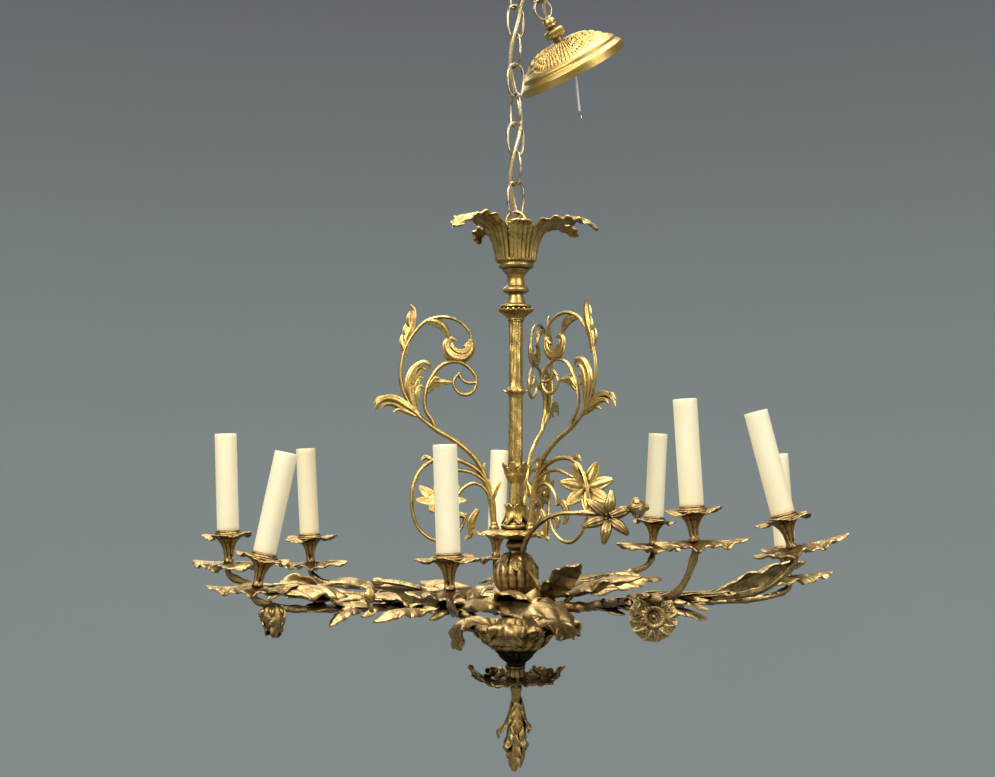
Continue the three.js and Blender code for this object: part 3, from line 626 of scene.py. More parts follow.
camera()


# ---------- cords ----------
CORD_START = mm(-345)
CORD_SIDE_ANGLE = -45  # where the cord passes the wires between links 2 and 3, in degrees
CROWN_FLOOR = mm(-379.7)


def link_z(number):
    """The height of a chain link's centre, from the CAD model."""
    low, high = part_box(f"chain_link_{number}")
    return (low[2] + high[2]) / 2


def from_canopy(x, y, z):
    """From the canopy's frame to the chain's."""
    return list(moved(CHAIN.inverted() @ CANOPY, [[x, y, z]])[0])


def lamp_cord_route():
    """The cord's route in the chain's frame: up through every link, over to the loop, and into its stem."""
    top = link_z(2) - LINK_REACH + mm(1.65)
    steps = 22
    wound = []
    for i in range(steps + 1):
        z = CORD_START + (top - CORD_START) * i / steps
        wound.append(polar(CORD_ORBIT, CORD_SIDE_ANGLE - 90 * (top - z) / LINK_PITCH, z))
    low = [[1.6 * wound[0][0], 1.6 * wound[0][1], z] for z in (CROWN_FLOOR, CORD_START - 0.015)]
    over = [
        [0.008, -0.008, -0.098], [0.016, -0.011, -0.089], [0.026, -0.011, -0.086], [0.035, -0.007, -0.091]
    ]
    into = [from_canopy(0, -0.004, -0.009), from_canopy(0, -0.001, -0.015), from_canopy(0, 0, -0.021)]
    return low + wound + over + into + [from_canopy(0, 0, -0.034), from_canopy(0, 0, -0.057)]


def lamp_cord():
    """The woven cord, in one length for each joint that it crosses; the last length rides on the canopy, and
    the others stay where they are.
    """
    path = smooth(lamp_cord_route(), 620)
    twin = lambda angle, share: 0.76 + 0.24 * np.abs(np.cos(angle)) ** 1.5
    sides = 18
    points, _ = tube(moved(CHAIN, path), CORD_DIAMETER / 2, sides, section=twin)
    rings = points.reshape(len(path), sides, 3)
    bodies = ["frame"] + [f"link_{k}" for k in range(LINKS, 0, -1)]
    bodies += ["hook", "canopy_link_1", "canopy_link_2", "canopy"]
    past = lambda number: next(i for i, p in enumerate(path) if p[2] > link_z(number))
    cuts = [0] + [past(number) for number in range(LINKS, 2, -1)]
    hop = [[0.010, -0.009, -0.0955], [0.015, -0.011, -0.090], [0.0205, -0.0115, -0.0868]]
    hop += [[0.026, -0.011, -0.086], [0.0335, -0.008, -0.0896], from_canopy(0, -0.001, -0.015)]
    for place in hop:
        cuts.append(int(np.argmin(np.linalg.norm(path - np.array(place), axis=1))))
    cuts.append(len(path) - 1)
    for number, (start, end) in enumerate(zip(cuts, cuts[1:])):
        stretch = Form().add(stretch_of(rings[start : end + 1]))
        last = number == len(cuts) - 2
        made = stretch.piece(
            f"lamp_cord_{number + 1}", CORD, "canopy" if last else None, "clear_cord", ["lamp_cord"],
        )
        if not last:
            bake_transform(made)


def stretch_of(rings):
    """Part of a tube, with its ends closed."""
    rows, sides = rings.shape[:2]
    faces = quads(rows, sides, wrap_columns=True)
    faces.append(tuple(range(sides))[::-1])
    faces.append(tuple(range((rows - 1) * sides, rows * sides)))
    return rings.reshape(-1, 3), faces


# The stiff white lead, in the canopy's frame: out of the stem inside the canopy and down past its rim.
LEAD_ROUTE = [
    (0, 0, -0.0573), (0, 0, -0.062), (0.0005, -0.0003, -0.066), (0.0013, -0.0006, -0.070),
    (0.002, -0.001, -0.074), (0.002, -0.0014, -0.078), (0.0014, -0.0016, -0.082), (0.0002, -0.0018, -0.086),
    (-0.0016, -0.002, -0.090), (-0.0034, -0.0022, -0.094), (-0.0052, -0.0022, -0.098),
    (-0.007, -0.002, -0.102), (-0.0088, -0.0018, -0.106), (-0.0106, -0.0016, -0.110),
    (-0.0124, -0.0014, -0.114), (-0.0142, -0.0012, -0.118), (-0.016, -0.001, -0.122),
    (-0.0178, -0.0008, -0.126), (-0.0196, -0.0006, -0.130), (-0.0214, -0.0004, -0.134),
]


def lead_wire():
    """Twin white lead, its last stretch stripped to twisted copper."""
    path = moved(CANOPY, smooth(LEAD_ROUTE, 90))
    twin = lambda angle, share: 0.96 + 0.16 * np.abs(np.cos(angle + 30 * share)) ** 1.5
    made = Form().add(tube(path, LEAD_DIAMETER / 2, 18, section=twin))
    wire = made.piece("lead_wire_sheath", WHITE, "canopy", "white_wire", ["lead_wire"])
    strand = lambda angle, share: 1 + 0.14 * np.cos(5 * (angle + 40 * share))
    bare = tube(path[-9:] + (path[-1] - path[-2]) * 2.2, mm(1.9), 20, section=strand)
    ends = Form().add(bare).piece("lead_wire_end", COPPER, "canopy", "white_wire", ["lead_wire"])


lamp_cord()
lead_wire()


# ---------- hook, chain and canopy ----------
def link_path():
    """The oval of a link's wire, in its own XZ plane: a little fuller than an ellipse, whose power is 2."""
    turn = np.radians(np.linspace(-20, 340, 84, endpoint=False))
    power = 2.7
    full = lambda part: np.sign(part) * np.abs(part) ** (2 / power)
    return np.stack([LINK_BEND * full(np.cos(turn)), 0 * turn, LINK_REACH * full(np.sin(turn))], axis=-1)


def link(matrix):
    """One link, with the butt seam of its closed wire on one side."""
    seam = lambda angle, share: 1 - 0.13 * np.exp(-(((share - 0.055) / 0.006) ** 2)) + 0 * angle
    path = link_path()
    return Form().add(hoop(path, (0, 1, 0), LINK_WIRE / 2, 16, section=seam), matrix)


def chain():
    for number in range(1, LINKS + 1):
        quarter = Matrix.Rotation(math.radians(0 if number % 2 else 90), 4, "Z")
        matrix = CHAIN @ Matrix.Translation((0, 0, link_z(number))) @ quarter
        link(matrix).piece(
            f"link_{number}_wire", CHAIN_BRASS, f"link_{number}", "chain_brass", [f"chain_link_{number}"]
        )
    for number in (1, 2):
        quarter = Matrix.Rotation(math.radians(0 if number == 1 else 90), 4, "Z")
        drop = FIRST_DROP - (number - 1) * LINK_PITCH
        matrix = SLANT @ Matrix.Translation((0, 0, drop)) @ quarter
        node = f"canopy_link_{number}"
        link(matrix).piece(f"{node}_wire", CHAIN_BRASS, node, "chain_brass", [node])


def ceiling_hook():
    """A screwed ceiling plate with a question-mark hook, its wire end rounded off."""
    form = Form()
    plate = [(0, -4), (7, -4), (8, -5.5), (10, -5.5), (11, -4), (20, -3.4), (22, -2), (22, 0), (0, 0)]
    form.add(lathe(rounded(plate, 0.7), 72))
    shank = [(0, -27), (3.1, -26.5), (3.1, -10), (4.2, -9), (4.2, -6), (6, -5), (6, -3), (0, -3)]
    form.add(lathe(rounded(shank, 0.4), 32))
    bend = smooth([[0, *polar(mm(12), a, 0)[:2]] for a in range(90, -201, -29)], 90)
    ends = np.clip(np.minimum(np.arange(90), np.arange(90)[::-1] + 0.0) / 4, 0.25, 1) ** 0.5
    form.add(tube(bend + np.array([0, 0, mm(-35)]), mm(2.5) * ends, 18, up=np.array([1.0, 0, 0])))
    for side in (-1, 1):
        screw = [(0, -6.2), (1.6, -6.2), (3.4, -5), (3.6, -3.9), (0, -3.5)]
        form.add(lathe(rounded(screw, 0.3), 24), Matrix.Translation((side * mm(14.5), 0, 0)))
    form.piece("hook_casting", STEEL, "hook", "hook_steel", ["ceiling_hook"], CHAIN)


def ring_path(z=0.0):
    """The upright circle, 22 mm across, that both rings are bent along."""
    ring = np.array([polar(mm(11), a, 0) for a in np.linspace(0, 360, 72, endpoint=False)])
    return np.stack([ring[:, 0], 0 * ring[:, 0], ring[:, 1] + z], axis=-1)


def canopy_loop():
    """The ring loop with its collar and hollow threaded stem."""
    form = Form()
    eye = Form().add(hoop(ring_path(-mm(11)), (0, -1, 0), mm(1.75), 18))
    eye.piece("loop_eye", CHAIN_BRASS, "canopy", "canopy_brass", ["canopy_loop"], CANOPY)
    outside = [
        (3, -57), (5.2, -57), (5.5, -56), (5.5, -33), (7.6, -31.5), (7.6, -29), (6.6, -28.4), (7.6, -27.6)
    ]
    outside += [(7.6, -25.5), (5.6, -22.5), (3.2, -21.6)]
    inside = [(2.8, -22.5), (2.8, -57)]
    thread = flutes(28, 0.3, -31.5, -26, 0.6)
    form.add(lathe(fine(rounded(outside + inside, 0.4), 1.2), 84, thread, closed=True))
    form.piece("loop_casting", LACQUERED, "canopy", "canopy_brass", ["canopy_loop"], CANOPY)


def ring_nut():
    """The knurled nut that clamps the canopy."""
    band = [
        (5.8, -45), (9, -45), (11.6, -43.4), (11.6, -41), (11.1, -40.4), (11.6, -39.8), (11.6, -37),
        (9.6, -35)
    ]
    band += [(5.8, -35)]
    knurl = flutes(36, 0.75, -44.2, -36, 0.7)
    form = Form().add(lathe(fine(rounded(band, 0.4), 0.8), 216, knurl, closed=True))
    form.piece("ring_nut_knurled", LACQUERED, "ring_nut", "canopy_brass", ["canopy_ring_nut"], CANOPY)


def canopy_relief(angle, radius, z):
    """Stamped acanthus: eight leaves with fine fluting between them, from the neck to the lip."""
    share = np.clip((radius - 12) / 42, 0, 1) * (z > -76)
    turn = 4 * angle
    ridge = np.abs(np.cos(turn)) ** 0.7
    lobes = 0.5 + 0.5 * np.cos(11 * math.pi * share - 4.5 * np.abs(np.sin(turn)))
    vein = np.exp(-((np.sin(turn) / 0.12) ** 2))
    pleats = np.abs(np.sin(34 * angle + 5 * share * np.sign(np.sin(2 * turn))))
    fade = np.sin(math.pi * share) ** 0.5
    leafage = 1.1 * ridge + 1.0 * lobes * (1 - vein) + 0.7 * vein
    lift = fade * (leafage + 1.7 * pleats * (0.5 + 0.5 * lobes) - 2.3)
    flat = z < -50.5
    return 0.35 * lift * flat, lift * flat


def canopy():
    """The domed canopy: stamped relief, a raised lip and a plain polished rim band."""
    outside = [
        (63.5, -88), (63.5, -79.5), (61.8, -78), (60.4, -76.4), (58.6, -75), (57.8, -71.5), (56, -69.8)
    ]
    outside += [(48, -65), (40, -58.5), (30, -53.6), (18, -51), (10, -50), (5.8, -50)]
    form = Form()
    shell = fine(rounded(outside, 1.2), 0.9)
    inside = [(5.8, -52.5), (18, -54), (29, -56.5), (40, -64), (46.5, -69), (56, -76.5), (61.9, -80)]
    inside += [(61.9, -88)]
    skin = np.vstack([shell, fine(rounded(inside, 1.2), 2.5)])
    low = np.arange(len(skin)) < len(shell)

    def relief(angle, radius, z):
        swell, lift = canopy_relief(angle, radius, z)
        return swell * low[:, None], lift * low[:, None]

    form.add(lathe(skin, 420, relief, closed=True))
    form.piece("canopy_shell", LACQUERED, "canopy", "canopy_brass", ["canopy"], CANOPY)


chain()
ceiling_hook()
canopy_loop()
ring_nut()
canopy()


# ---------- crown, vase, column and plate ----------
# Each crown leaf: its direction in degrees, its width against a full leaf's, how much its edges wave,
# and its line (radius and z in mm) from the cup to its tip.
CROWN_LEAVES = [
    (-80, 1.0, 0.25, [(29, -361), (32, -355), (35.5, -351)]),
    (-20, 1.0, 1.0, [(33, -358), (47, -350), (68, -347.5), (82, -352), (92, -361)]),
    (31, 0.6, 0.8, [(33, -358), (46, -352), (60, -349.5), (72, -352), (80, -358)]),
    (100, 1.0, 1.0, [(32, -356), (42, -350), (54, -349), (64, -354), (70, -362)]),
    (160, 0.75, 1.0, [(31, -359), (38, -356), (44, -358), (46, -363), (44, -370)]),
    (220, 1.0, 1.0, [(33, -357), (46, -349), (62, -346.5), (76, -351), (85, -361)]),
]


def crown_ring():
    """The loop that the chain holds, on its foot inside the crown."""
    form = Form()
    _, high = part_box("crown_ring")
    centre = high[2] - mm(12.5)
    stand = Matrix.Translation((0, 0, centre)) @ Matrix.Rotation(math.radians(-20), 4, "Z")
    form.add(hoop(ring_path(), (0, -1, 0), mm(1.5), 16), stand)
    foot = [
        (0, -380), (6.5, -380), (6.5, -377), (4.6, -374), (4, -360), (5.6, -358.5), (5.6, -356),
        (3.5, -354.6), (0, -354)
    ]
    form.add(lathe(rounded(foot, 0.6), 36))
    form.piece("crown_ring_casting", GILT, "frame", "gilt_bronze", ["crown_ring"])


def crown_leaf(angle, broad, lively, tip, seed):
    """One leaf of the crown: its veined foot is a sixth of the cup, and its toothed end flares and droops."""
    rows, columns = 74, 45
    line = smooth([(r, 0, z) for r, z in [(20.8, -391), (22.4, -381), (26, -368), *tip]], rows)
    t = np.linspace(0, 1, rows)[:, None]
    s = np.linspace(-1, 1, columns)[None, :]
    tangent = unit(np.gradient(line, axis=0))
    free = np.clip((t - 0.3) / 0.25, 0, 1)
    phase = (8 * t + 0.2 * (s > 0) + 0.3 * seed) % 1.0
    lobe = 1 - 0.26 * free * (1 - np.sin(math.pi * phase**1.5) ** 0.5)
    slim = 1 - (1 - broad) * free
    round_off = np.sqrt(1 - 0.93 * t**6)
    half = np.minimum(line[:, :1] * math.radians(30.5), 20 + 1.5 * math.sin(seed)) * round_off * slim
    reach = half * (1 + (lobe - 1) * np.abs(s) ** 2)
    ahead = 0.45 * reach * np.abs(s) ** 1.6 * free * (1 - t) ** 0.3
    strength = (0.9 + 0.3 * np.sin(4 * s + seed)) * (1 - 0.55 * t)
    vein = strength * np.cos(5 * math.pi * s + 0.7 * np.sin(3 * s + seed))
    crease = -1.9 * np.abs(s) ** 6 * (1 - t)
    wave = 0.13 + 0.09 * np.sin(9 * t + 2.1 * seed + 1.5 * (s > 0)) + 0.1 * np.sin(2 * math.pi * phase)
    margin = lively * free * half * wave * s**2
    lift = vein + crease + margin
    radius = line[:, :1] + ahead * tangent[:, :1] + lift * tangent[:, 2:]
    z = line[:, 2:] + ahead * tangent[:, 2:] - lift * tangent[:, :1]
    turn = math.radians(angle) + s * reach / line[:, :1]
    middle = np.stack([radius * np.cos(turn), radius * np.sin(turn), z], axis=-1)
    return sheet(middle, 2.3 + 0 * lift)


def crown():
    """A beaded cup whose wall opens into six acanthus leaves."""
    form = Form()
    outside = [
        (0, -401), (14, -401), (18.6, -399), (19.8, -396.6), (18.6, -394.8), (20.2, -393.6), (21.6, -392)
    ]
    outside += [(21.4, -390.4), (19.6, -389), (20.4, -382), (23.6, -372), (25.4, -365)]
    inside = [(24, -365), (21.6, -373), (16, -380.3), (0, -380.3)]
    form.add(lathe(fine(rounded(outside + inside, 0.8), 1.5), 120))
    for seed, (angle, broad, lively, tip) in enumerate(CROWN_LEAVES):
        form.add(crown_leaf(angle, broad, lively, tip, seed))
    form.rough(0.3, 60, 1)
    form.piece("crown_casting", GILT, "frame", "gilt_bronze", ["crown"], sharp=60)


def vase():
    """The turned vase, its bead, and the fluted petal collar with a toothed rim."""
    form = Form()
    body = [
        (0, -444), (14.6, -444), (16.9, -442.6), (16.6, -440.2), (13.2, -439.6), (11, -438.6), (10.2, -436)
    ]
    body += [
        (8.6, -432), (7.8, -429), (9, -427.6), (13.4, -426), (14.6, -423.5), (13.4, -421), (10.4, -419.4)
    ]
    body += [(9.2, -415), (9, -411), (10, -407), (13, -403.6), (15.4, -401.3), (0, -401.3)]
    form.add(lathe(rounded(body, 0.9), 96))
    collar = [(0, -457), (8.8, -457), (9.6, -456), (8.8, -455), (11, -452.6), (15, -449.4), (18.9, -447)]
    collar += [(19.2, -445.8), (14, -444.6), (12, -443.8), (0, -443.8)]
    form.add(lathe(fine(rounded(collar, 0.4), 0.8), 192, flutes(20, 2.2, -454.5, -444.8, 0.55)))
    for i in range(20):
        tooth = petal(19.6, 4.8, rise=0.8, ribs=1, thickness=1.5, start=13, rows=8, columns=5)
        form.add(tooth, turned(18 * i + 9, -445.6))
    form.piece("vase_casting", GILT, "frame", "gilt_bronze", ["vase"])


def column():
    """A bark-like column, cast as a stem with two knobs and a base ring."""
    base = [
        (0, -684), (15, -684), (16.3, -682.6), (16.3, -679.6), (13.4, -678.4), (12.6, -676.6), (10.6, -675),
        (9, -670)
    ]
    lower = [(8.1, -664), (7.8, -634), (9.5, -630.5), (11.4, -626), (11.2, -620), (8.8, -615.5), (7.7, -612)]
    upper = [
        (7.6, -541), (8.6, -538), (10.4, -535), (10, -532), (8, -529.4), (7.5, -525), (7.6, -459),
        (8.6, -458.3)
    ]
    top = [(8.6, -457.3), (0, -457.3)]

    def bark(angle, radius, z):
        wave = np.sin(5 * angle + 0.035 * z + 0.8 * np.sin(0.05 * z)) + 0.6 * np.sin(11 * angle - 0.05 * z)
        lump = np.sin(3 * angle + 0.13 * z) * np.sin(0.21 * z + 1)
        fade = (radius < 8.5) * np.clip((-458.5 - z) / 2, 0, 1)
        return (0.27 * wave + 0.25 * lump) * fade, np.zeros_like(z)

    form = Form()
    form.add(lathe(fine(rounded(base + lower + upper + top, 0.9), 1.6), 72, bark))
    for i in range(5):
        spike = around([(6, -535.5), (10, -534.5), (13.6, -533)], 72 * i + 20)
        form.add(tube(smooth(mm(spike), 10), mm(np.linspace(2.4, 1.1, 10)), 10))
    small = {"lobes": 3, "thickness": 1.8, "rows": 24, "columns": 9}
    for i in range(7):
        way = 360 / 7 * i
        lower_leaf = around([(7.5, -631), (10, -624), (12.6, -617), (15.4, -611)], way)
        form.add(leaf(lower_leaf, 11, polar(1, way, 0.4), **small, seed=i))
        foot_leaf = around([(15, -678), (12, -672), (10, -664), (12.5, -656)], way + 26)
        form.add(leaf(foot_leaf, 12, polar(1, way + 26, 0.4), **small, seed=i))
    form.rough(0.35, 110, 2)
    form.piece("column_casting", GILT, "frame", "gilt_bronze", ["column"])


def gallery_plate():
    """The small leafy dish under the brackets: a scalloped rim and a boss beneath."""
    outline = [
        (0, -695), (8, -695), (12, -694.4), (24, -692), (36, -688.6), (38.4, -687.4), (36, -686),
        (28, -684.3), (0, -684.3)
    ]

    def scallop(angle, radius, z):
        far = np.clip((radius - 22) / 16, 0, 1)
        ruffle = 1.6 * far * np.cos(24 * angle) * 0.4
        return -3.4 * far * np.abs(np.sin(6 * angle)) ** 1.4, ruffle - 1.2 * far**2

    form = Form().add(lathe(fine(rounded(outline, 0.7), 1.5), 144, scallop))
    for i in range(12):
        rib = petal(38, 11, rise=-1.5, curl=-0.12, ribs=2, thickness=1.4, start=20)
        form.add(rib, turned(30 * i + 15, -688))
    form.rough(0.3, 140, 3)
    form.piece("gallery_plate_casting", GILT, "frame", "gilt_bronze", ["gallery_plate"])


def gourd_ball():
    """The necked and reeded gourd ball, and the hub under it."""
    neck = [
        (0, -695.3), (8, -695.3), (9.4, -697), (11, -699.4), (11, -702), (9.2, -704.4), (7.6, -707),
        (9, -709.6)
    ]
    ball_line = [
        (12, -711.4), (18.4, -715.4), (23, -722), (25, -730), (25, -737), (22.6, -744.6), (18.6, -750),
        (15, -753)
    ]
    hub = [(18, -755.6), (18, -775), (17, -777), (0, -777)]
    outline = np.array((neck + ball_line + hub)[::-1])

    def reeds(angle, radius, z):
        share = np.clip((z + 752.5) / 6, 0, 1) * np.clip((-710.5 - z) / 6, 0, 1)
        rib = np.abs(np.cos(7 * angle + 0.025 * (z + 730))) ** 0.55
        return -3.6 * (1 - rib) * share, np.zeros_like(z)

    form = Form().add(lathe(fine(rounded(outline, 0.9), 1.2), 168, reeds))
    for i in range(8):
        spine = around([(9, -709), (14, -712), (20, -719), (24.5, -727)], 45 * i)
        form.add(leaf(spine, 12, polar(1, 45 * i, 0.5), lobes=3, thickness=1.6, rows=22, columns=9, seed=i))
    form.rough(0.25, 120, 4)
    form.piece("gourd_ball_casting", DARK_GILT, "frame", "dark_gilt", ["gourd_ball"])


crown_ring()
crown()
vase()
column()
gallery_plate()
gourd_ball()


# ---------- calyx, lower cup, saucer and drop finial ----------
def calyx():
    """A swelling cup wrapped in six big curled leaves, with narrow ones between."""
    body = [
        (0, -813), (26, -813), (28, -811), (31, -805), (30, -797), (25, -788), (18, -779), (16, -777.3),
        (0, -777.3)
    ]
    form = Form().add(lathe(fine(rounded(body, 1), 2), 120, flutes(18, 1.6, -811, -780, 0.7)))
    for i, fall in enumerate((6, 4, 6, 17, 10, 5)):
        angle = 20 + 60 * i
        end = [(62, -783 - 0.1 * fall), (70, -789 - 0.5 * fall), (72, -792 - fall)]
        spine = around([(25, -812), (31, -800), (39, -789), (51, -783), *end], angle)
        form.add(leaf(
            spine, 40, lobes=4, notch=0.26, cup=0.34, ribs=0.09, blunt=0.56, skew=1.15, sweep=0.95,
            rows=72, columns=23, seed=i,
        ))
        spine = around([(26, -811), (33, -800), (41, -790), (49, -785), (57, -789)], angle + 30)
        form.add(leaf(
            spine, 34, lobes=3, notch=0.2, cup=0.28, ribs=0.1, blunt=0.36, rows=48, columns=21, seed=i + 9,
        ))
    form.rough(0.4, 55, 5)
    form.piece("calyx_casting", UMBER_GILT, "frame", "dark_gilt", ["calyx"], sharp=60)


def lower_cup():
    """The dark fluted cup under the calyx."""
    outline = [(0, -830), (9.4, -830), (10.8, -828.6), (10.4, -827), (13.6, -825), (18, -821), (20.4, -816.6)]
    outline += [(21, -813.3), (0, -813.3)]
    form = Form().add(lathe(fine(rounded(outline, 0.5), 0.8), 160, flutes(16, 1.8, -826.6, -813.6, 0.6)))
    for i in range(16):
        tooth = petal(22.6, 6.4, rise=-0.8, ribs=1, thickness=1.3, start=14, rows=8, columns=5)
        form.add(tooth, turned(22.5 * i, -814.6))
    form.piece("lower_cup_casting", BLACK_BRONZE, "frame", "dark_bronze", ["lower_cup"])


# Each leaf of the saucer: its direction in degrees, and how far its end curls up, in mm.
SAUCER_LEAVES = [(4, 16), (56, 10), (112, 8), (168, 15), (196, 17), (250, 1), (312, 2)]
# Each small flower on the saucer: its direction in degrees, its distance from the axis and its reach, in mm.
SAUCER_FLOWERS = [
    (-24, 38, 9.5), (-8, 34, 7), (40, 30, 8), (100, 34, 8), (150, 31, 7), (200, 28, 8.5), (232, 26, 7),
]


def leaf_saucer():
    """Seven thin leaves round a lumpy hub, curled up at their ends, with small flowers on them."""
    hub = [
        (0, -852), (6, -852), (7.8, -850.4), (9.4, -846), (11.5, -842), (10, -838), (9.4, -834),
        (10.4, -831.6)
    ]
    hub += [(9.4, -830.3), (0, -830.3)]
    form = Form().add(lathe(fine(rounded(hub, 0.6), 1), 96, flutes(9, 1.6, -850, -831, 0.8)))
    for i, (angle, rise) in enumerate(SAUCER_LEAVES):
        line = [(8, -845), (22, -848.5), (36, -848 + 0.16 * rise), (46, -847 + 0.5 * rise)]
        spine = around([*line, (53.5, -847 + rise)], angle)
        form.add(leaf(
            spine, 28, lobes=3, notch=0.24, cup=-0.12, wave=0.16, ribs=0.07, thickness=2.0, blunt=0.14,
            sweep=1.1, rows=44, columns=17, seed=i,
        ))
    for angle, radius, reach in SAUCER_FLOWERS:
        place = mm(polar(radius, angle, -840))
        facing = aim(polar(0.7, angle - 60, 1), place)
        add_flower(form, facing, petals=5, reach=reach, width=7, rise=3.4, boss=2.6)
    form.rough(0.3, 70, 6)
    form.piece("leaf_saucer_casting", DARK_GILT, "frame", "dark_gilt", ["leaf_saucer"], sharp=60)


def add_flower(form, matrix, petals, reach, width, rise, boss, tip=0.2, turn=0.0, curl=0.1, thickness=1.8):
    """A flower of pointed petals round a beaded boss."""
    shape = {"rise": rise, "curl": curl, "tip": tip, "ribs": 2, "thickness": thickness, "start": boss * 0.6}
    for i in range(petals):
        form.add(petal(reach, width, **shape), matrix @ turned(360 / petals * i + turn))
    form.add(ball((0, 0, boss * 0.4), boss, (1, 1, 0.8)), matrix)


# Each leaf of the drop finial: its direction in degrees, its width, and its line (radius and z in mm).
DROP_LEAVES = [
    (185, 15, [(4.5, -868), (7, -882), (13, -894), (20, -900), (19, -908)]),
    (5, 15, [(4.5, -864), (8, -878), (11, -890), (15.5, -896), (13, -903)]),
    (95, 15, [(4.5, -868), (8, -882), (12, -893), (17, -900), (15, -907)]),
    (275, 13, [(4.5, -866), (7.5, -878), (10, -888), (12, -895), (10.5, -901)]),
    (218, 13, [(5, -882), (9, -898), (11, -908), (16, -916), (12, -921)]),
    (320, 12, [(5, -882), (9, -897), (11, -907), (13.5, -914), (11, -921)]),
    (45, 13, [(5, -884), (9, -899), (12, -910), (15, -917), (12, -923)]),
    (130, 13, [(5, -884), (9, -899), (12, -911), (15, -918), (12, -925)]),
    (250, 17, [(5, -893), (8.5, -906), (9, -918), (9.5, -930), (8, -942)]),
    (335, 9, [(5, -895), (9, -908), (10, -920), (8, -930), (5, -939)]),
    (90, 14, [(5, -895), (8.5, -908), (9, -919), (9, -930), (7, -940)]),
]


def drop_finial():
    """A bare stem that opens into three tiers of hanging leaves, each a little different."""
    stem = [(0, -925), (3, -924), (5, -912), (6, -895), (5.6, -880), (5, -870), (5.2, -862), (5.8, -857)]
    stem += [(6.6, -854.4), (6.4, -852.3), (0, -852.3)]
    form = Form().add(lathe(rounded(stem, 0.8), 48))
    for seed, (angle, width, line) in enumerate(DROP_LEAVES):
        form.add(leaf(
            around(line, angle), width, polar(1, angle, 0.2), lobes=4, notch=0.24, cup=0.34, wave=0.2,
            ribs=0.1, thickness=2.0, blunt=0.2, sweep=0.9, rows=48, columns=15, seed=seed,
        ))
    form.rough(0.3, 90, 7)
    form.piece("drop_finial_casting", UMBER_GILT, "frame", "gilt_bronze", ["drop_finial"], sharp=60)


calyx()
lower_cup()
leaf_saucer()
drop_finial()


# ---------- scroll brackets ----------
# Lines in a bracket's own upright plane, in mm: distance from the column's axis, and z.
# Each rod has its thickness at the foot and at the end.
RODS = [
    ([(24, -679), (30, -640), (42, -611), (64, -590.5), (91, -574), (112, -555), (124, -532), (126, -510),
      (118, -482), (101, -461), (83, -454.5), (65, -457.5), (53, -467.5), (49.5, -479),
      (56, -485.5)], 6.2, 3.0),
    ([(88, -577), (92, -566), (98.5, -556), (100, -544), (95, -524), (81, -506.5), (62, -503), (46, -515.5),
      (43.5, -525), (46, -533), (52, -538), (59, -538), (65, -534.5), (68.5, -528), (67.5, -521.5),
      (62.6, -515.5)],
     4.4, 3.2),
    ([(62.6, -516), (59.3, -522), (52.7, -525.4), (44.5, -525.3)], 3.1, 3.1),
    ([(27, -652), (37, -625), (53, -613), (71, -607.5), (89, -609), (103, -618), (111, -633), (114, -652),
      (111, -672), (103, -686), (88, -695), (72, -693), (60, -682), (55, -668)], 5.2, 3.2),
    ([(26, -660), (34, -640), (45, -634), (56, -638), (64, -647), (66, -656)], 4.2, 3.2),
    ([(24, -679), (25, -655), (33, -634), (49, -622.5), (68, -620), (84, -625)], 4.6, 3.4),
]
# Each tongue of the acanthus sprays, with its width.
FRONDS = [
    ([(49.5, -478), (50, -490), (57, -497.5), (67, -498), (75, -491.5), (76.5, -483), (72, -478),
      (64.5, -479.5)], 8.5),
    ([(51, -484), (56, -491.5), (64, -492), (70, -487), (70, -482)], 6),
    ([(62, -498), (71, -500), (78, -495), (79, -489)], 4),
    ([(99, -459.5), (90, -460.5), (82, -464), (77, -470), (73.5, -479)], 7.5),
    ([(92, -459.5), (84, -460), (77, -464), (74, -469)], 4.5),
    ([(122, -499), (120, -482), (115, -468), (112, -455), (112.5, -446), (116, -441)], 7),
    ([(122, -492), (125.5, -482), (124.5, -474)], 4),
    ([(119, -480), (121.5, -470), (119.5, -461)], 4),
    ([(115, -468), (118, -458), (116.5, -449)], 4),
    ([(111, -556), (115.5, -540), (116.5, -526), (113, -514), (107, -507), (100, -504.5), (94.5, -507),
      (94, -512)], 8),
    ([(110, -552), (112, -536), (111, -524), (107, -515.5), (101.5, -511), (98, -513)], 6.5),
    ([(109.5, -550), (108, -536), (104.5, -529.5), (101, -532)], 5),
    ([(110.5, -540), (108.5, -527), (104.5, -520.5), (101, -523)], 5),
    ([(117, -536), (119.5, -527), (118.5, -520)], 3.6),
    ([(107, -560), (121, -549.5), (131, -543.8), (141, -542.5), (149, -546.5), (154, -556)], 7),
    ([(110, -560), (124, -552.5), (134, -548.5), (142, -549), (147, -555)], 6),
    ([(138, -543), (148, -542.5), (155, -549)], 3.6),
    ([(108, -562), (120, -556.5), (127, -554.5), (134, -558)], 5),
    ([(97, -534), (90, -526), (81, -525.5), (69.5, -525)], 6.5),
    ([(95.5, -530), (89, -521), (83.5, -520.5)], 4),
    ([(97, -537), (89, -530), (83, -529.5)], 4),
    ([(66, -655), (73, -654), (80, -661), (80, -673), (74, -677)], 7),
    ([(56, -670), (62, -668), (67, -673), (66, -682)], 6),
    ([(42, -662), (49, -676), (50, -690), (56, -694)], 7),
    ([(28, -656), (23, -642), (17, -632)], 5.5),
    ([(28, -655), (31, -636), (37, -622), (34, -612)], 6),
    ([(92, -609), (99, -606), (104, -611)], 4),
]
# The middle of each bracket's star flower (mm, in the bracket's frame), and the way that it faces.
STAR_FLOWERS = [
    ((83, 2, -651), (0, 0.62, 0.78)), ((108, 4, -638), (0.72, -0.66, 0.2)), ((92, 0, -646), (0.2, 1, 0.3))
]


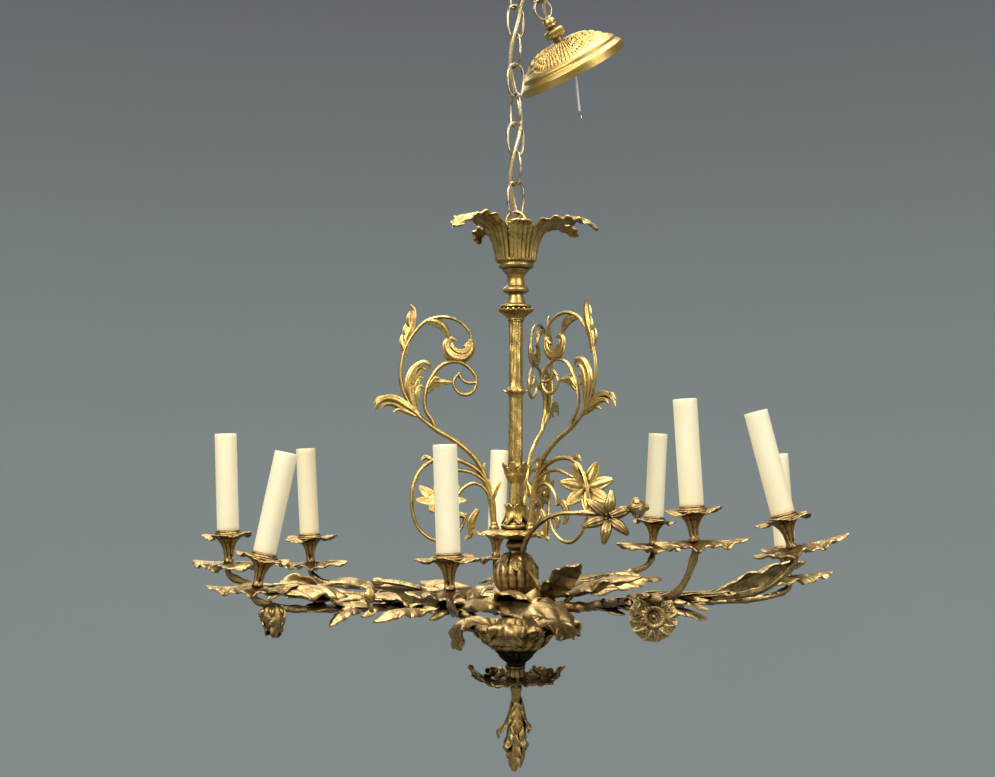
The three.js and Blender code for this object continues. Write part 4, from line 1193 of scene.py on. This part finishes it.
def bracket(number, angle):
    """One scroll bracket: tapering rods, acanthus sprays, a star flower and its stem."""
    form = Form()
    side = np.array([0.0, 1.0, 0.0])
    for points, foot, end in RODS:
        line = np.array([(r, 0, z) for r, z in points])
        count = int(np.linalg.norm(np.diff(line, axis=0), axis=1).sum() / 1.4)
        share = np.linspace(0, 1, count)
        rib = lambda turn, along: 1 + 0.12 * np.cos(4 * turn)
        radii = mm(foot + (end - foot) * share**0.7) / 2
        form.add(tube(smooth(mm(line), count), radii, 16, up=side, section=rib))
        form.add(ball(line[-1], 0.62 * end))
    for i, (points, width) in enumerate(FRONDS):
        lean = 0.9 * math.sin(2.4 * i)
        form.add(frond([(r, lean, z) for r, z in points], 1.22 * width, side))
    foot = [(0, -683.7), (5.4, -683.7), (5.4, -681), (4, -680), (4, -677), (2.6, -675), (0, -674)]
    form.add(lathe(rounded(foot, 0.5), 24), Matrix.Translation((mm(24), 0, 0)))
    centre, facing = STAR_FLOWERS[number - 1]
    stem = smooth([(84, 0, -625), (0.5 * (84 + centre[0]), 0.6 * centre[1], -630), centre], 18)
    form.add(tube(mm(stem), mm(np.linspace(1.6, 1.4, 18)), 12, up=side))
    flower = aim(facing, mm(centre))
    add_flower(
        form, flower, petals=7, reach=28, width=12.5, rise=3.4, boss=4.4, tip=0.16, turn=12, curl=-0.14,
        thickness=2.2
    )
    form.add(ball((0, 0, -1.6), 3.6, (1, 1, 0.7)), flower)
    form.rough(0.25, 90, 10 + number)
    node = f"scroll_bracket_{number}"
    form.piece(f"{node}_casting", GILT, "frame", "gilt_bronze", [node], turned(angle), sharp=60)


for number, angle in enumerate(BRACKET_ANGLES, start=1):
    bracket(number, angle)


# ---------- branches ----------
def candle_axis(lean):
    """The direction of a candle's own axis, from its foot to its top."""
    return unit(np.array([math.tan(math.radians(lean[0])), math.tan(math.radians(lean[1])), 1.0]))


def stem_points(candle):
    """The stem of one candle in mm, from the branch's fork up to the foot of its cup."""
    seat, lean, *_, branch = candle
    seat = np.array(seat, dtype=float)
    axis = candle_axis(lean)
    foot = seat - axis * (CUP_HEIGHT + 0.3)
    under = np.array([seat[0] * 0.93, seat[1] * 0.93, min(foot[2] - 22, STEM_Z + 30)])
    fork = np.array(polar(FORK_REACH, BRANCH_ANGLES[branch], STEM_Z + 2))
    return [fork, (fork + under) / 2, under, foot - axis * 12, foot]


# Leaves that lie along each branch: from, to and width, in mm.
BRANCH_LEAVES = [
    [
        ((-20, 120, -768), (-110, 170, -752), 44), ((10, 130, -768), (80, 205, -750), 44),
        ((-5, 90, -766), (-12, 235, -745), 40), ((90, 150, -765), (175, 175, -748), 34),
        ((-140, 140, -762), (-215, 130, -748), 34),
    ],
    [
        ((-60, -45, -766), (-150, -95, -748), 46), ((-40, -50, -766), (-45, -190, -752), 46),
        ((-150, -60, -762), (-215, -20, -752), 34), ((-160, -100, -762), (-185, -150, -774), 16),
        ((-190, -110, -752), (-290, -105, -738), 30), ((-45, -160, -758), (-138, -215, -728), 34),
        ((-90, -120, -762), (-140, -170, -768), 26),
    ],
    [
        ((26, -46, -757), (64, -116, -715), 30), ((42, -36, -754), (130, -72, -731), 34),
        ((130, -70, -762), (215, -95, -748), 36), ((200, -60, -752), (300, -70, -715), 30),
        ((120, -110, -764), (190, -130, -768), 30), ((30, -60, -766), (-20, -150, -742), 44),
    ],
]


def twig(points, thick, thin, knots=5, seed=0):
    """A bark-like stem (mm): ridged, knotted and a little crooked."""
    line = np.array(points, dtype=float)
    length = float(np.linalg.norm(np.diff(line, axis=0), axis=1).sum())
    count = max(8, int(length / 1.6))
    path = smooth(mm(line), count)
    share = np.linspace(0, 1, count)
    knot = sum(np.exp(-(((share - (k + 0.5) / knots) * length / 4) ** 2)) for k in range(knots))
    radii = mm((thick + (thin - thick) * share) * (1 + 0.28 * knot))

    def bark(turn, along):
        return 1 + 0.09 * np.cos(5 * turn + 9 * along + seed) + 0.05 * np.cos(9 * turn - 14 * along)

    return tube(path, radii, 18, section=bark)


def add_branch_leaf(form, start, end, width, seed):
    """A big cast leaf with a drooping, waved edge. The steeper it climbs, the more its face leans back."""
    start, end = np.array(start, dtype=float), np.array(end, dtype=float)
    line = [start, start + 0.33 * (end - start) + (0, 0, 4), start + 0.7 * (end - start) + (0, 0, 6), end]
    climb = max(0.0, end[2] - start[2] - 20)
    form.add(leaf(
        line, width * 1.04, (0, 0.035 * climb, 1), lobes=4, notch=0.17, cup=0.36, wave=0.12, ribs=0.08,
        thickness=2.8, blunt=0.02 if climb else 0.12, rows=72, columns=23, seed=seed,
    ))


def add_sheaths(form, points, count, seed):
    """Leaf sheaths and narrow leaves along a stem: they clasp it and peel off, each a little differently."""
    pick = random.Random(seed)
    path = smooth(np.array(points, dtype=float), 80)
    for i in range(count):
        first = 4 + int(56 * i / count)
        for side in (-1, 1):
            run = pick.randint(13, 19)
            clasp = path[first:first + run:5]
            outward = np.cross(path[first + run] - path[first], UP)
            outward = side * outward / np.linalg.norm(outward)
            spread = np.linspace(1.4, pick.uniform(4, 9), len(clasp))[:, None]
            line = clasp + outward * spread + (0, 0, pick.uniform(-2.4, 3))
            tip = line[-1] + (line[-1] - line[0]) * pick.uniform(0.2, 0.4) + outward * pick.uniform(1, 6)
            tip = tip + (0, 0, pick.uniform(-3, 4))
            form.add(frond([*line, tip], pick.uniform(9, 14), UP, thin=0.25, flat=0.5))
    for i in range(2 * count):
        at = path[8 + int(58 * i / (2 * count))]
        ahead = unit(path[12 + int(58 * i / (2 * count))] - at)
        swing = math.radians((-1) ** i * pick.uniform(14, 42))
        way = np.array([
            ahead[0] * math.cos(swing) - ahead[1] * math.sin(swing),
            ahead[0] * math.sin(swing) + ahead[1] * math.cos(swing), pick.uniform(-0.16, 0.12),
        ])
        reach = pick.uniform(24, 44)
        line = [at, at + 0.5 * reach * way + (0, 0, 3), at + reach * way + (0, 0, pick.uniform(-3, 2))]
        form.add(leaf(
            line, pick.uniform(8, 14), lobes=2, notch=0.12, cup=0.6, wave=0.1, thickness=2.4, rows=28,
            columns=11, seed=seed + i,
        ))


def add_drip_leaf(form, candle, seed):
    """The toothed leaf that lies under a candle's cup."""
    seat, lean, direction, push, climb, _ = candle
    foot = np.array(seat, dtype=float) - candle_axis(lean) * (CUP_HEIGHT + 3.4)
    ahead = np.array(polar(1, direction, 0))
    line = []
    for share, lift in ((-0.5, 2), (-0.25, 1), (0, 1), (0.25, 1.4), (0.5, 4)):
        reach = push + share * 90
        line.append(foot + ahead * reach + (0, 0, climb * reach + lift))
    form.add(leaf(
        line, 42, lobes=6, notch=0.24, cup=0.2, wave=0.11, ribs=0.09, thickness=2.6, blunt=0.1,
        sweep=0.5, rows=96, columns=25, seed=seed,
    ))


def nearest_stem(point, paths):
    places = np.vstack(paths)
    return places[int(np.argmin(np.linalg.norm(places - np.array(point, dtype=float), axis=1)))]


def add_hanging_bud(form):
    """A withered bud under candle 2's branch: five lobed leaves that hang together and narrow downwards."""
    form.add(twig([(-240, -131, -757), (-242, -136, -755), (-243, -141, -758)], 2.6, 2.2, 1))
    for i, length in enumerate((1.0, 0.84, 0.94, 0.78, 1.0)):
        line = [(3, -754), (10, -759), (12.5, -767), (10, -777), (6, -786)]
        spine = [polar(r, 72 * i + 20, -754 + length * (z + 754)) for r, z in line]
        spine = [(0.86 * x - 243, 0.86 * y - 141, z) for x, y, z in spine]
        form.add(leaf(
            spine, 17, polar(1, 72 * i + 20, 0.3), lobes=3, notch=0.3, cup=0.3, wave=0.2, ribs=0.12,
            blunt=0.3, rows=34, columns=13, seed=i,
        ))
    form.add(ball((-243, -141, -765), 7.5, (1, 1, 1.4)))


def add_folded_leaf(form):
    """The folded leaf behind candle 2, with the thin twig that runs on from it."""
    spine = [(-258, -72, -754), (-246, -66, -744), (-232, -64, -738), (-215, -62, -741), (-204, -60, -748)]
    form.add(leaf(
        spine, 19, (0.1, -1, 0.5), lobes=3, notch=0.3, cup=-0.3, wave=0.3, ribs=0.12, rows=44, seed=4,
    ))
    spine = [(-238, -72, -752), (-226, -70, -743), (-214, -68, -741), (-203, -66, -745)]
    form.add(leaf(spine, 14, (0, -1, 1), lobes=2, notch=0.2, cup=0.4, wave=0.2, rows=34, columns=13, seed=7))
    form.add(twig([(-208, -62, -741), (-188, -62, -738), (-160, -64, -741)], 2.4, 1.3, 2))
    form.add(twig([(-255, -70, -757), (-262, -66, -762)], 2.4, 2.4, 1))


def add_buds(form):
    """The upright bud on the front branch, and the one that ends the drip leaf of candle 4."""
    form.add(twig([(-146, -128, -762), (-147, -130, -756), (-148, -130, -751)], 2.2, 2.0, 1))
    for i in range(3):
        way = 120 * i + 30
        spine = around([(1.5, -753), (4, -748), (3.6, -743), (1, -737.5)], way)
        spine = [(x - 148, y - 130, z) for x, y, z in spine]
        form.add(leaf(
            spine, 9, polar(1, way, 0.1), lobes=2, notch=0.12, cup=0.4, rows=24, columns=11, seed=i,
        ))
    line = [(-92, -240, -731), (-108, -236, -727), (-122, -232, -725), (-135, -229, -725)]
    form.add(frond(line, 9, UP, thin=0.7))
    form.add(ball((-132, -230, -725), 4.4, (1.5, 1, 0.9)))


def add_front_leaf(form):
    """The broad leaf that droops across the front of the hub, above the calyx."""
    spine = [(-36, -112, -754), (-12, -124, -753), (16, -128, -754), (40, -120, -759), (57, -108, -770)]
    form.add(leaf(
        spine, 36, (0, -0.62, 0.78), lobes=5, notch=0.16, cup=0.16, wave=0.16, ribs=0.1, thickness=2.6,
        blunt=0.4, rows=72, columns=23, seed=11,
    ))
    form.add(twig([(24, -62, -763), (22, -90, -757), (14, -122, -751)], 3, 2.4, 2))


def add_rosette(form):
    """The ribbed daisy on the front of branch 3, with a raised inner ring and a beaded eye."""
    form.add(twig([(118, -100, -764), (126, -126, -765), (134, -148, -765)], 2.8, 2.4, 1))
    face = aim((0.12, -1, 0.05), mm((134, -150, -765)))
    dish = [
        (0, -3), (8, -3), (15, -1.5), (20, 0), (19, 1.5), (14, 1.2), (11, 3), (9, 4.6), (7, 3.6), (5, 2),
        (0, 1.6)
    ]
    form.add(lathe(fine(rounded(dish, 0.6), 0.8), 144, flutes(18, 0.9, -4, 8, 0.7)), face)
    for i in range(12):
        one = petal(24, 13.4, rise=-2.4, curl=0.22, tip=0.82, ribs=4, thickness=2.0, start=10)
        form.add(one, face @ Matrix.Translation((0, 0, mm(0.5 * (i % 2)))) @ turned(30 * i))
    ring = [(6.6, 1), (9.6, 2), (11.8, 3.6), (11.4, 5.2), (9.4, 5.6), (7, 4.4)]
    form.add(lathe(fine(rounded(ring, 0.5), 0.7), 120, flutes(20, 1.0, 1.5, 9, 0.6), closed=True), face)
    form.add(ball((0, 0, 1.6), 2.6, (1, 1, 0.8)), face)
    for i in range(8):
        form.add(ball(polar(4.4, 45 * i, 2), 1.1, rings=7, sides=10), face)


LILY_STEM = [
    (32, -24, -764), (22, -26, -742), (8, -34, -715), (12, -58, -690), (34, -82, -668), (64, -98, -664),
    (92, -101, -668),
]


def lily_petal(reach, width):
    """A long petal with three sharp ridges: it opens forward, then its tip curls back."""
    t = np.linspace(0, 1, 34)[:, None]
    s = np.linspace(-1, 1, 25)[None, :]
    half = width / 2 * (0.24 + 0.76 * np.sin(math.pi * t**0.75) ** 0.9)
    ridge = 0.9 * np.abs(np.cos(1.5 * math.pi * s)) ** 0.6 * np.sin(math.pi * np.clip(0.1 + 0.85 * t, 0, 1))
    z = 5 * np.sin(2.6 * t) - 3.4 * t**4 - 0.35 * half * s**2 + ridge
    return sheet(np.stack([2 + (reach - 2) * t + 0 * s, s * half, z], axis=-1), np.array(1.6))


def add_lily(form):
    """The six-petalled lily that faces the front on its arching stem, and the round bud beyond it."""
    form.add(twig(LILY_STEM, 2.6, 2.0, 4))
    face = aim((0.1, -1, 0.1), mm((92, -106, -668)))
    for i in range(6):
        one = lily_petal(27.5, 10.5)
        form.add(one, face @ turned(60 * i + 26))
    form.add(lathe([(0, -6), (3, -5), (6, 0), (7, 2), (3, 1), (0, 1)], 24), face)
    for i in range(5):
        base = polar(1.6, 72 * i, 1)
        end = polar(3.4, 72 * i, 8)
        form.add(tube(smooth(mm([base, end]), 5), mm(0.6), 8), face)
        form.add(ball(end, 1.1), face)
    form.add(twig([(92, -101, -668), (106, -105, -664), (116, -107, -660)], 1.8, 1.5, 1))
    form.add(ball((122, -108, -658), 8.4, (1.05, 1, 0.95)))
    for i in range(5):
        spine = [(2, 0, 0), (8.6, 0, 3), (9.4, 0, 8), (4, 0, 14), (2.5, 0, 18)]
        sepal = leaf(spine, 9, (1, 0, 0.2), lobes=2, notch=0.1, cup=0.35, thickness=1.6, rows=22, columns=9)
        form.add(sepal, aim((1, 0, 0.1), mm((116, -107, -659)), 72 * i))


def branch(number):
    """One branch: its trunk and three stems, big leaves, sprigs, drip leaves, and what only it carries."""
    form = Form()
    angle = BRANCH_ANGLES[number]
    own = [(i, candle) for i, candle in enumerate(CANDLES) if candle[-1] == number]
    trunk = [
        polar(HUB_RADIUS - 1, angle, STEM_Z), polar(50, angle, STEM_Z + 1),
        polar(FORK_REACH + 6, angle, STEM_Z + 2)
    ]
    form.add(twig(trunk, 5.6, 4.6, 3, number))
    paths = [smooth(np.array(trunk, dtype=float), 20)]
    for i, candle in own:
        points = stem_points(candle)
        paths.append(smooth(np.array(points), 60))
        form.add(twig(points, 4.1, 3.2, 6, i))
        add_sheaths(form, points[:3], 5, 20 + i)
        add_drip_leaf(form, candle, i)
    for i, (start, end, width) in enumerate(BRANCH_LEAVES[number]):
        inside = np.array(start, dtype=float) + 0.25 * (np.array(end) - np.array(start)) + (0, 0, 2)
        root = nearest_stem(start, paths)
        form.add(twig([root, (root + inside) / 2, inside], 2.6, 2.0, 1))
        add_branch_leaf(form, start, end, width, number * 9 + i)
    if number == 1:
        add_hanging_bud(form)
        add_branch_leaf(form, (-238, -140, -741), (-172, -116, -747), 42, 31)
        add_folded_leaf(form)
        add_buds(form)
    if number == 2:
        add_rosette(form)
        add_lily(form)
        add_front_leaf(form)
    form.rough(0.55, 55, 20 + number)
    nodes = [f"branch_{number + 1}"]
    form.piece(f"branch_{number + 1}_casting", DARK_GILT, "frame", "dark_gilt", nodes, sharp=60)


for number in range(len(BRANCH_ANGLES)):
    branch(number)


# ---------- candles ----------
# How wide each cup's pan is, against the narrowest.
PAN_SPREADS = [1.0, 1.05, 1.18, 1.18, 1.0, 1.0, 1.05, 1.05, 1.0]


def candle_cup(number, matrix):
    """A trumpet cup with long grooves and hollows at its neck, under a thin pan of five waved petals."""
    form = Form()
    trumpet = [
        (0, -34.3), (5.4, -34.3), (5.2, -31), (5.1, -26), (6, -20), (8.2, -14.4), (12, -9.6), (16.4, -6.9)
    ]
    trumpet += [(18.6, -6), (18.6, -4.6), (13, -4.2), (0, -4.2)]

    def grooves(angle, radius, z):
        fade = np.clip((z + 32) / 3, 0, 1) * np.clip((-6.4 - z) / 3, 0, 1)
        rib = np.abs(np.cos(4 * angle + 0.03 * z + 0.3 * np.sin(2 * angle))) ** 0.7
        hollow = np.exp(-(((z + 28.4) / 2.2) ** 2)) * np.maximum(0, np.cos(2 * angle + number)) ** 3
        return -(0.26 * radius * (1 - rib) + 0.1) * fade - 2.4 * hollow, np.zeros_like(z)

    form.add(lathe(fine(rounded(trumpet, 0.6), 0.9), 126, grooves))

    def waved(angle, radius, z):
        far = np.clip((radius - 13) / 13, 0, 1)
        point = (1 - np.abs(np.sin(2.5 * angle + number))) ** 0.8
        lift = 1.9 * np.cos(5 * angle + 2 * number + 0.5) + 1.5 * np.sin(2 * angle + 3 * number)
        return -6.4 * far * (1 - point), far**1.5 * (lift - 1.2 + 0.3 * np.cos(30 * angle))

    pan = [(12, -6.2), (20, -6.4), (27.8, -5.7), (28.8, -5), (27.8, -4.3), (20, -4.3), (12, -4.1)]
    pan = [(radius * PAN_SPREADS[number - 1] if radius > 12 else radius, z) for radius, z in pan]
    form.add(lathe(fine(rounded(pan, 0.6), 1.2), 160, waved, closed=True))
    collar = [(0, -4.6), (14.4, -4.6), (14.8, -3.6), (13.8, -2.4), (0, -2.4)]
    form.add(lathe(rounded(collar, 0.5), 60))
    disc = [(0, -2.2), (12.4, -2.2), (13, -1.5), (12.6, -0.7), (11.8, -0.3), (0, -0.3)]
    washer = Form().add(lathe(fine(rounded(disc, 0.3), 1), 60))
    washer.piece(
        f"candle_cup_{number}_washer", DARK_GILT, "frame", "gilt_bronze", [f"candle_cup_{number}"], matrix
    )
    form.rough(0.2, 90, 40 + number)
    form.piece(
        f"candle_cup_{number}_casting", UMBER_GILT, "frame", "gilt_bronze", [f"candle_cup_{number}"],
        matrix, sharp=60
    )


def lamp_socket(number, matrix):
    """The candelabra socket inside the sleeve: a card tube with a screw shell, on its nipple."""
    form = Form()
    outside = [(0, 0), (4.8, 0), (4.8, 39), (6, 41), (9, 43), (9, 91.4), (8.6, 92)]
    inside = [(6.8, 92), (6.4, 91.4)]
    thread = [(6.4 + 0.35 * math.sin(1.9 * z), z) for z in np.arange(90.5, 67, -0.5)]
    bottom = [(6.4, 66.5), (2.4, 66), (2.2, 67.6), (0, 68)]
    form.add(lathe(np.array(outside + inside + thread + bottom), 40))
    form.piece(
        f"lamp_socket_{number}_shell", SOCKET, "frame", "lamp_socket", [f"lamp_socket_{number}"], matrix
    )


def candle_sleeve(number, matrix):
    """The ivory sleeve: a drawn tube with eased lips, very slightly out of round."""
    outer = [(11.3, 0), (11.5, 0.5), (11.5, SLEEVE_LENGTH - 0.7), (11.2, SLEEVE_LENGTH)]
    inner = [(10.6, SLEEVE_LENGTH), (10.3, SLEEVE_LENGTH - 0.6), (10.3, 0.4), (10.5, 0)]

    def uneven(angle, radius, z):
        return 0.07 * np.sin(2 * angle + number) + 0.04 * np.sin(0.09 * z + angle), 0 * z

    form = Form().add(lathe(fine(np.array(outer + inner), 4), 72, uneven, closed=True))
    form.piece(
        f"sleeve_{number}_tube", IVORY, f"sleeve_{number}", "ivory_sleeve", [f"candle_sleeve_{number}"],
        matrix
    )


for number, (seat, lean, *_) in enumerate(CANDLES, start=1):
    stand = aim(candle_axis(lean), mm(seat))
    candle_cup(number, stand)
    lamp_socket(number, stand)
    candle_sleeve(number, stand)


# ---------- studio ----------
def studio():
    """A pale floor that rises into a plain backdrop all round; lighting() makes the lights."""
    floor_z, reach, turn, height = -2.0, 3.6, 1.6, 3.4
    bend = [
        (reach + turn * math.sin(a), floor_z + turn * (1 - math.cos(a)))
        for a in np.linspace(0, math.pi / 2, 16)[1:]
    ]
    outline = [(0.05, floor_z), (1.5, floor_z), (reach, floor_z), *bend]
    outline.append((reach + turn, floor_z + turn + height))
    sides = 96
    rings = np.array(outline)
    angle = np.linspace(0, 2 * math.pi, sides, endpoint=False)
    points = [(r * math.cos(a), r * math.sin(a), z) for r, z in rings for a in angle]
    faces = [f[::-1] for f in quads(len(rings), sides, wrap_columns=True)]
    faces.append(tuple(range(sides)))
    mesh = bpy.data.meshes.new("studio_floor")
    mesh.from_pydata(points, [], faces)
    mesh.polygons.foreach_set("use_smooth", [True] * len(mesh.polygons))
    mesh.materials.append(studio_paper())
    floor = bpy.data.objects.new("studio_floor", mesh)
    bpy.context.scene.collection.objects.link(floor)


def studio_paper():
    """Pale grey paper, with painted shade that makes it a little darker and cooler towards the top of the
    backdrop.
    """
    s = Shader("studio_paper", Roughness=0.9)
    s.shader.inputs["Specular IOR Level"].default_value = 0.1
    parts = s.node("ShaderNodeSeparateXYZ")
    s.put(s.place, parts.inputs[0])
    height = s.math("MULTIPLY", s.math("ADD", parts.outputs["Z"], 2.0), 0.25)
    low = s.mix(s.noise(0.8, 2), (0.376, 0.418, 0.412), (0.398, 0.440, 0.432))
    # Painted shade: darker and cooler higher up the backdrop.
    paper = s.mix(s.ramp(height, [(0.38, 0.0), (0.95, 1.0)]), low, (0.268, 0.272, 0.304))
    return s.finish(paper, 0.9, s.noise(300, 2), 0.00005, 0.1)


LIGHT_AIM = Vector((0, 0, -0.6))  # the middle of the body


def soft_light(name, place, size, power, colour):
    data = bpy.data.lights.new(name, "AREA")
    data.shape = "RECTANGLE"
    data.size, data.size_y = size
    data.energy = power
    data.color = colour
    made = bpy.data.objects.new(name, data)
    made.location = place
    made.rotation_mode = "QUATERNION"
    made.rotation_quaternion = (LIGHT_AIM - Vector(place)).to_track_quat("-Z", "Y")
    bpy.context.scene.collection.objects.link(made)


def lighting():
    soft_light("key", (-1.9, -2.2, 1.2), (1.6, 1.3), 92, (1.0, 0.985, 0.95))
    soft_light("fill", (2.1, -2.1, 0.9), (1.4, 1.4), 58, (1.0, 0.985, 0.96))
    soft_light("top", (0.0, 0.1, 1.9), (2.0, 1.8), 88, (1.0, 1.0, 0.99))
    soft_light("back", (-0.9, 2.4, 1.0), (1.4, 1.0), 14, (1.0, 0.99, 0.97))
    world = bpy.data.worlds.new("studio")
    world.use_nodes = True
    world.node_tree.nodes["Background"].inputs["Color"].default_value = (0.62, 0.65, 0.68, 1)
    world.node_tree.nodes["Background"].inputs["Strength"].default_value = 0.45
    bpy.context.scene.world = world
    bpy.context.scene.view_settings.view_transform = "Standard"


studio()
lighting()
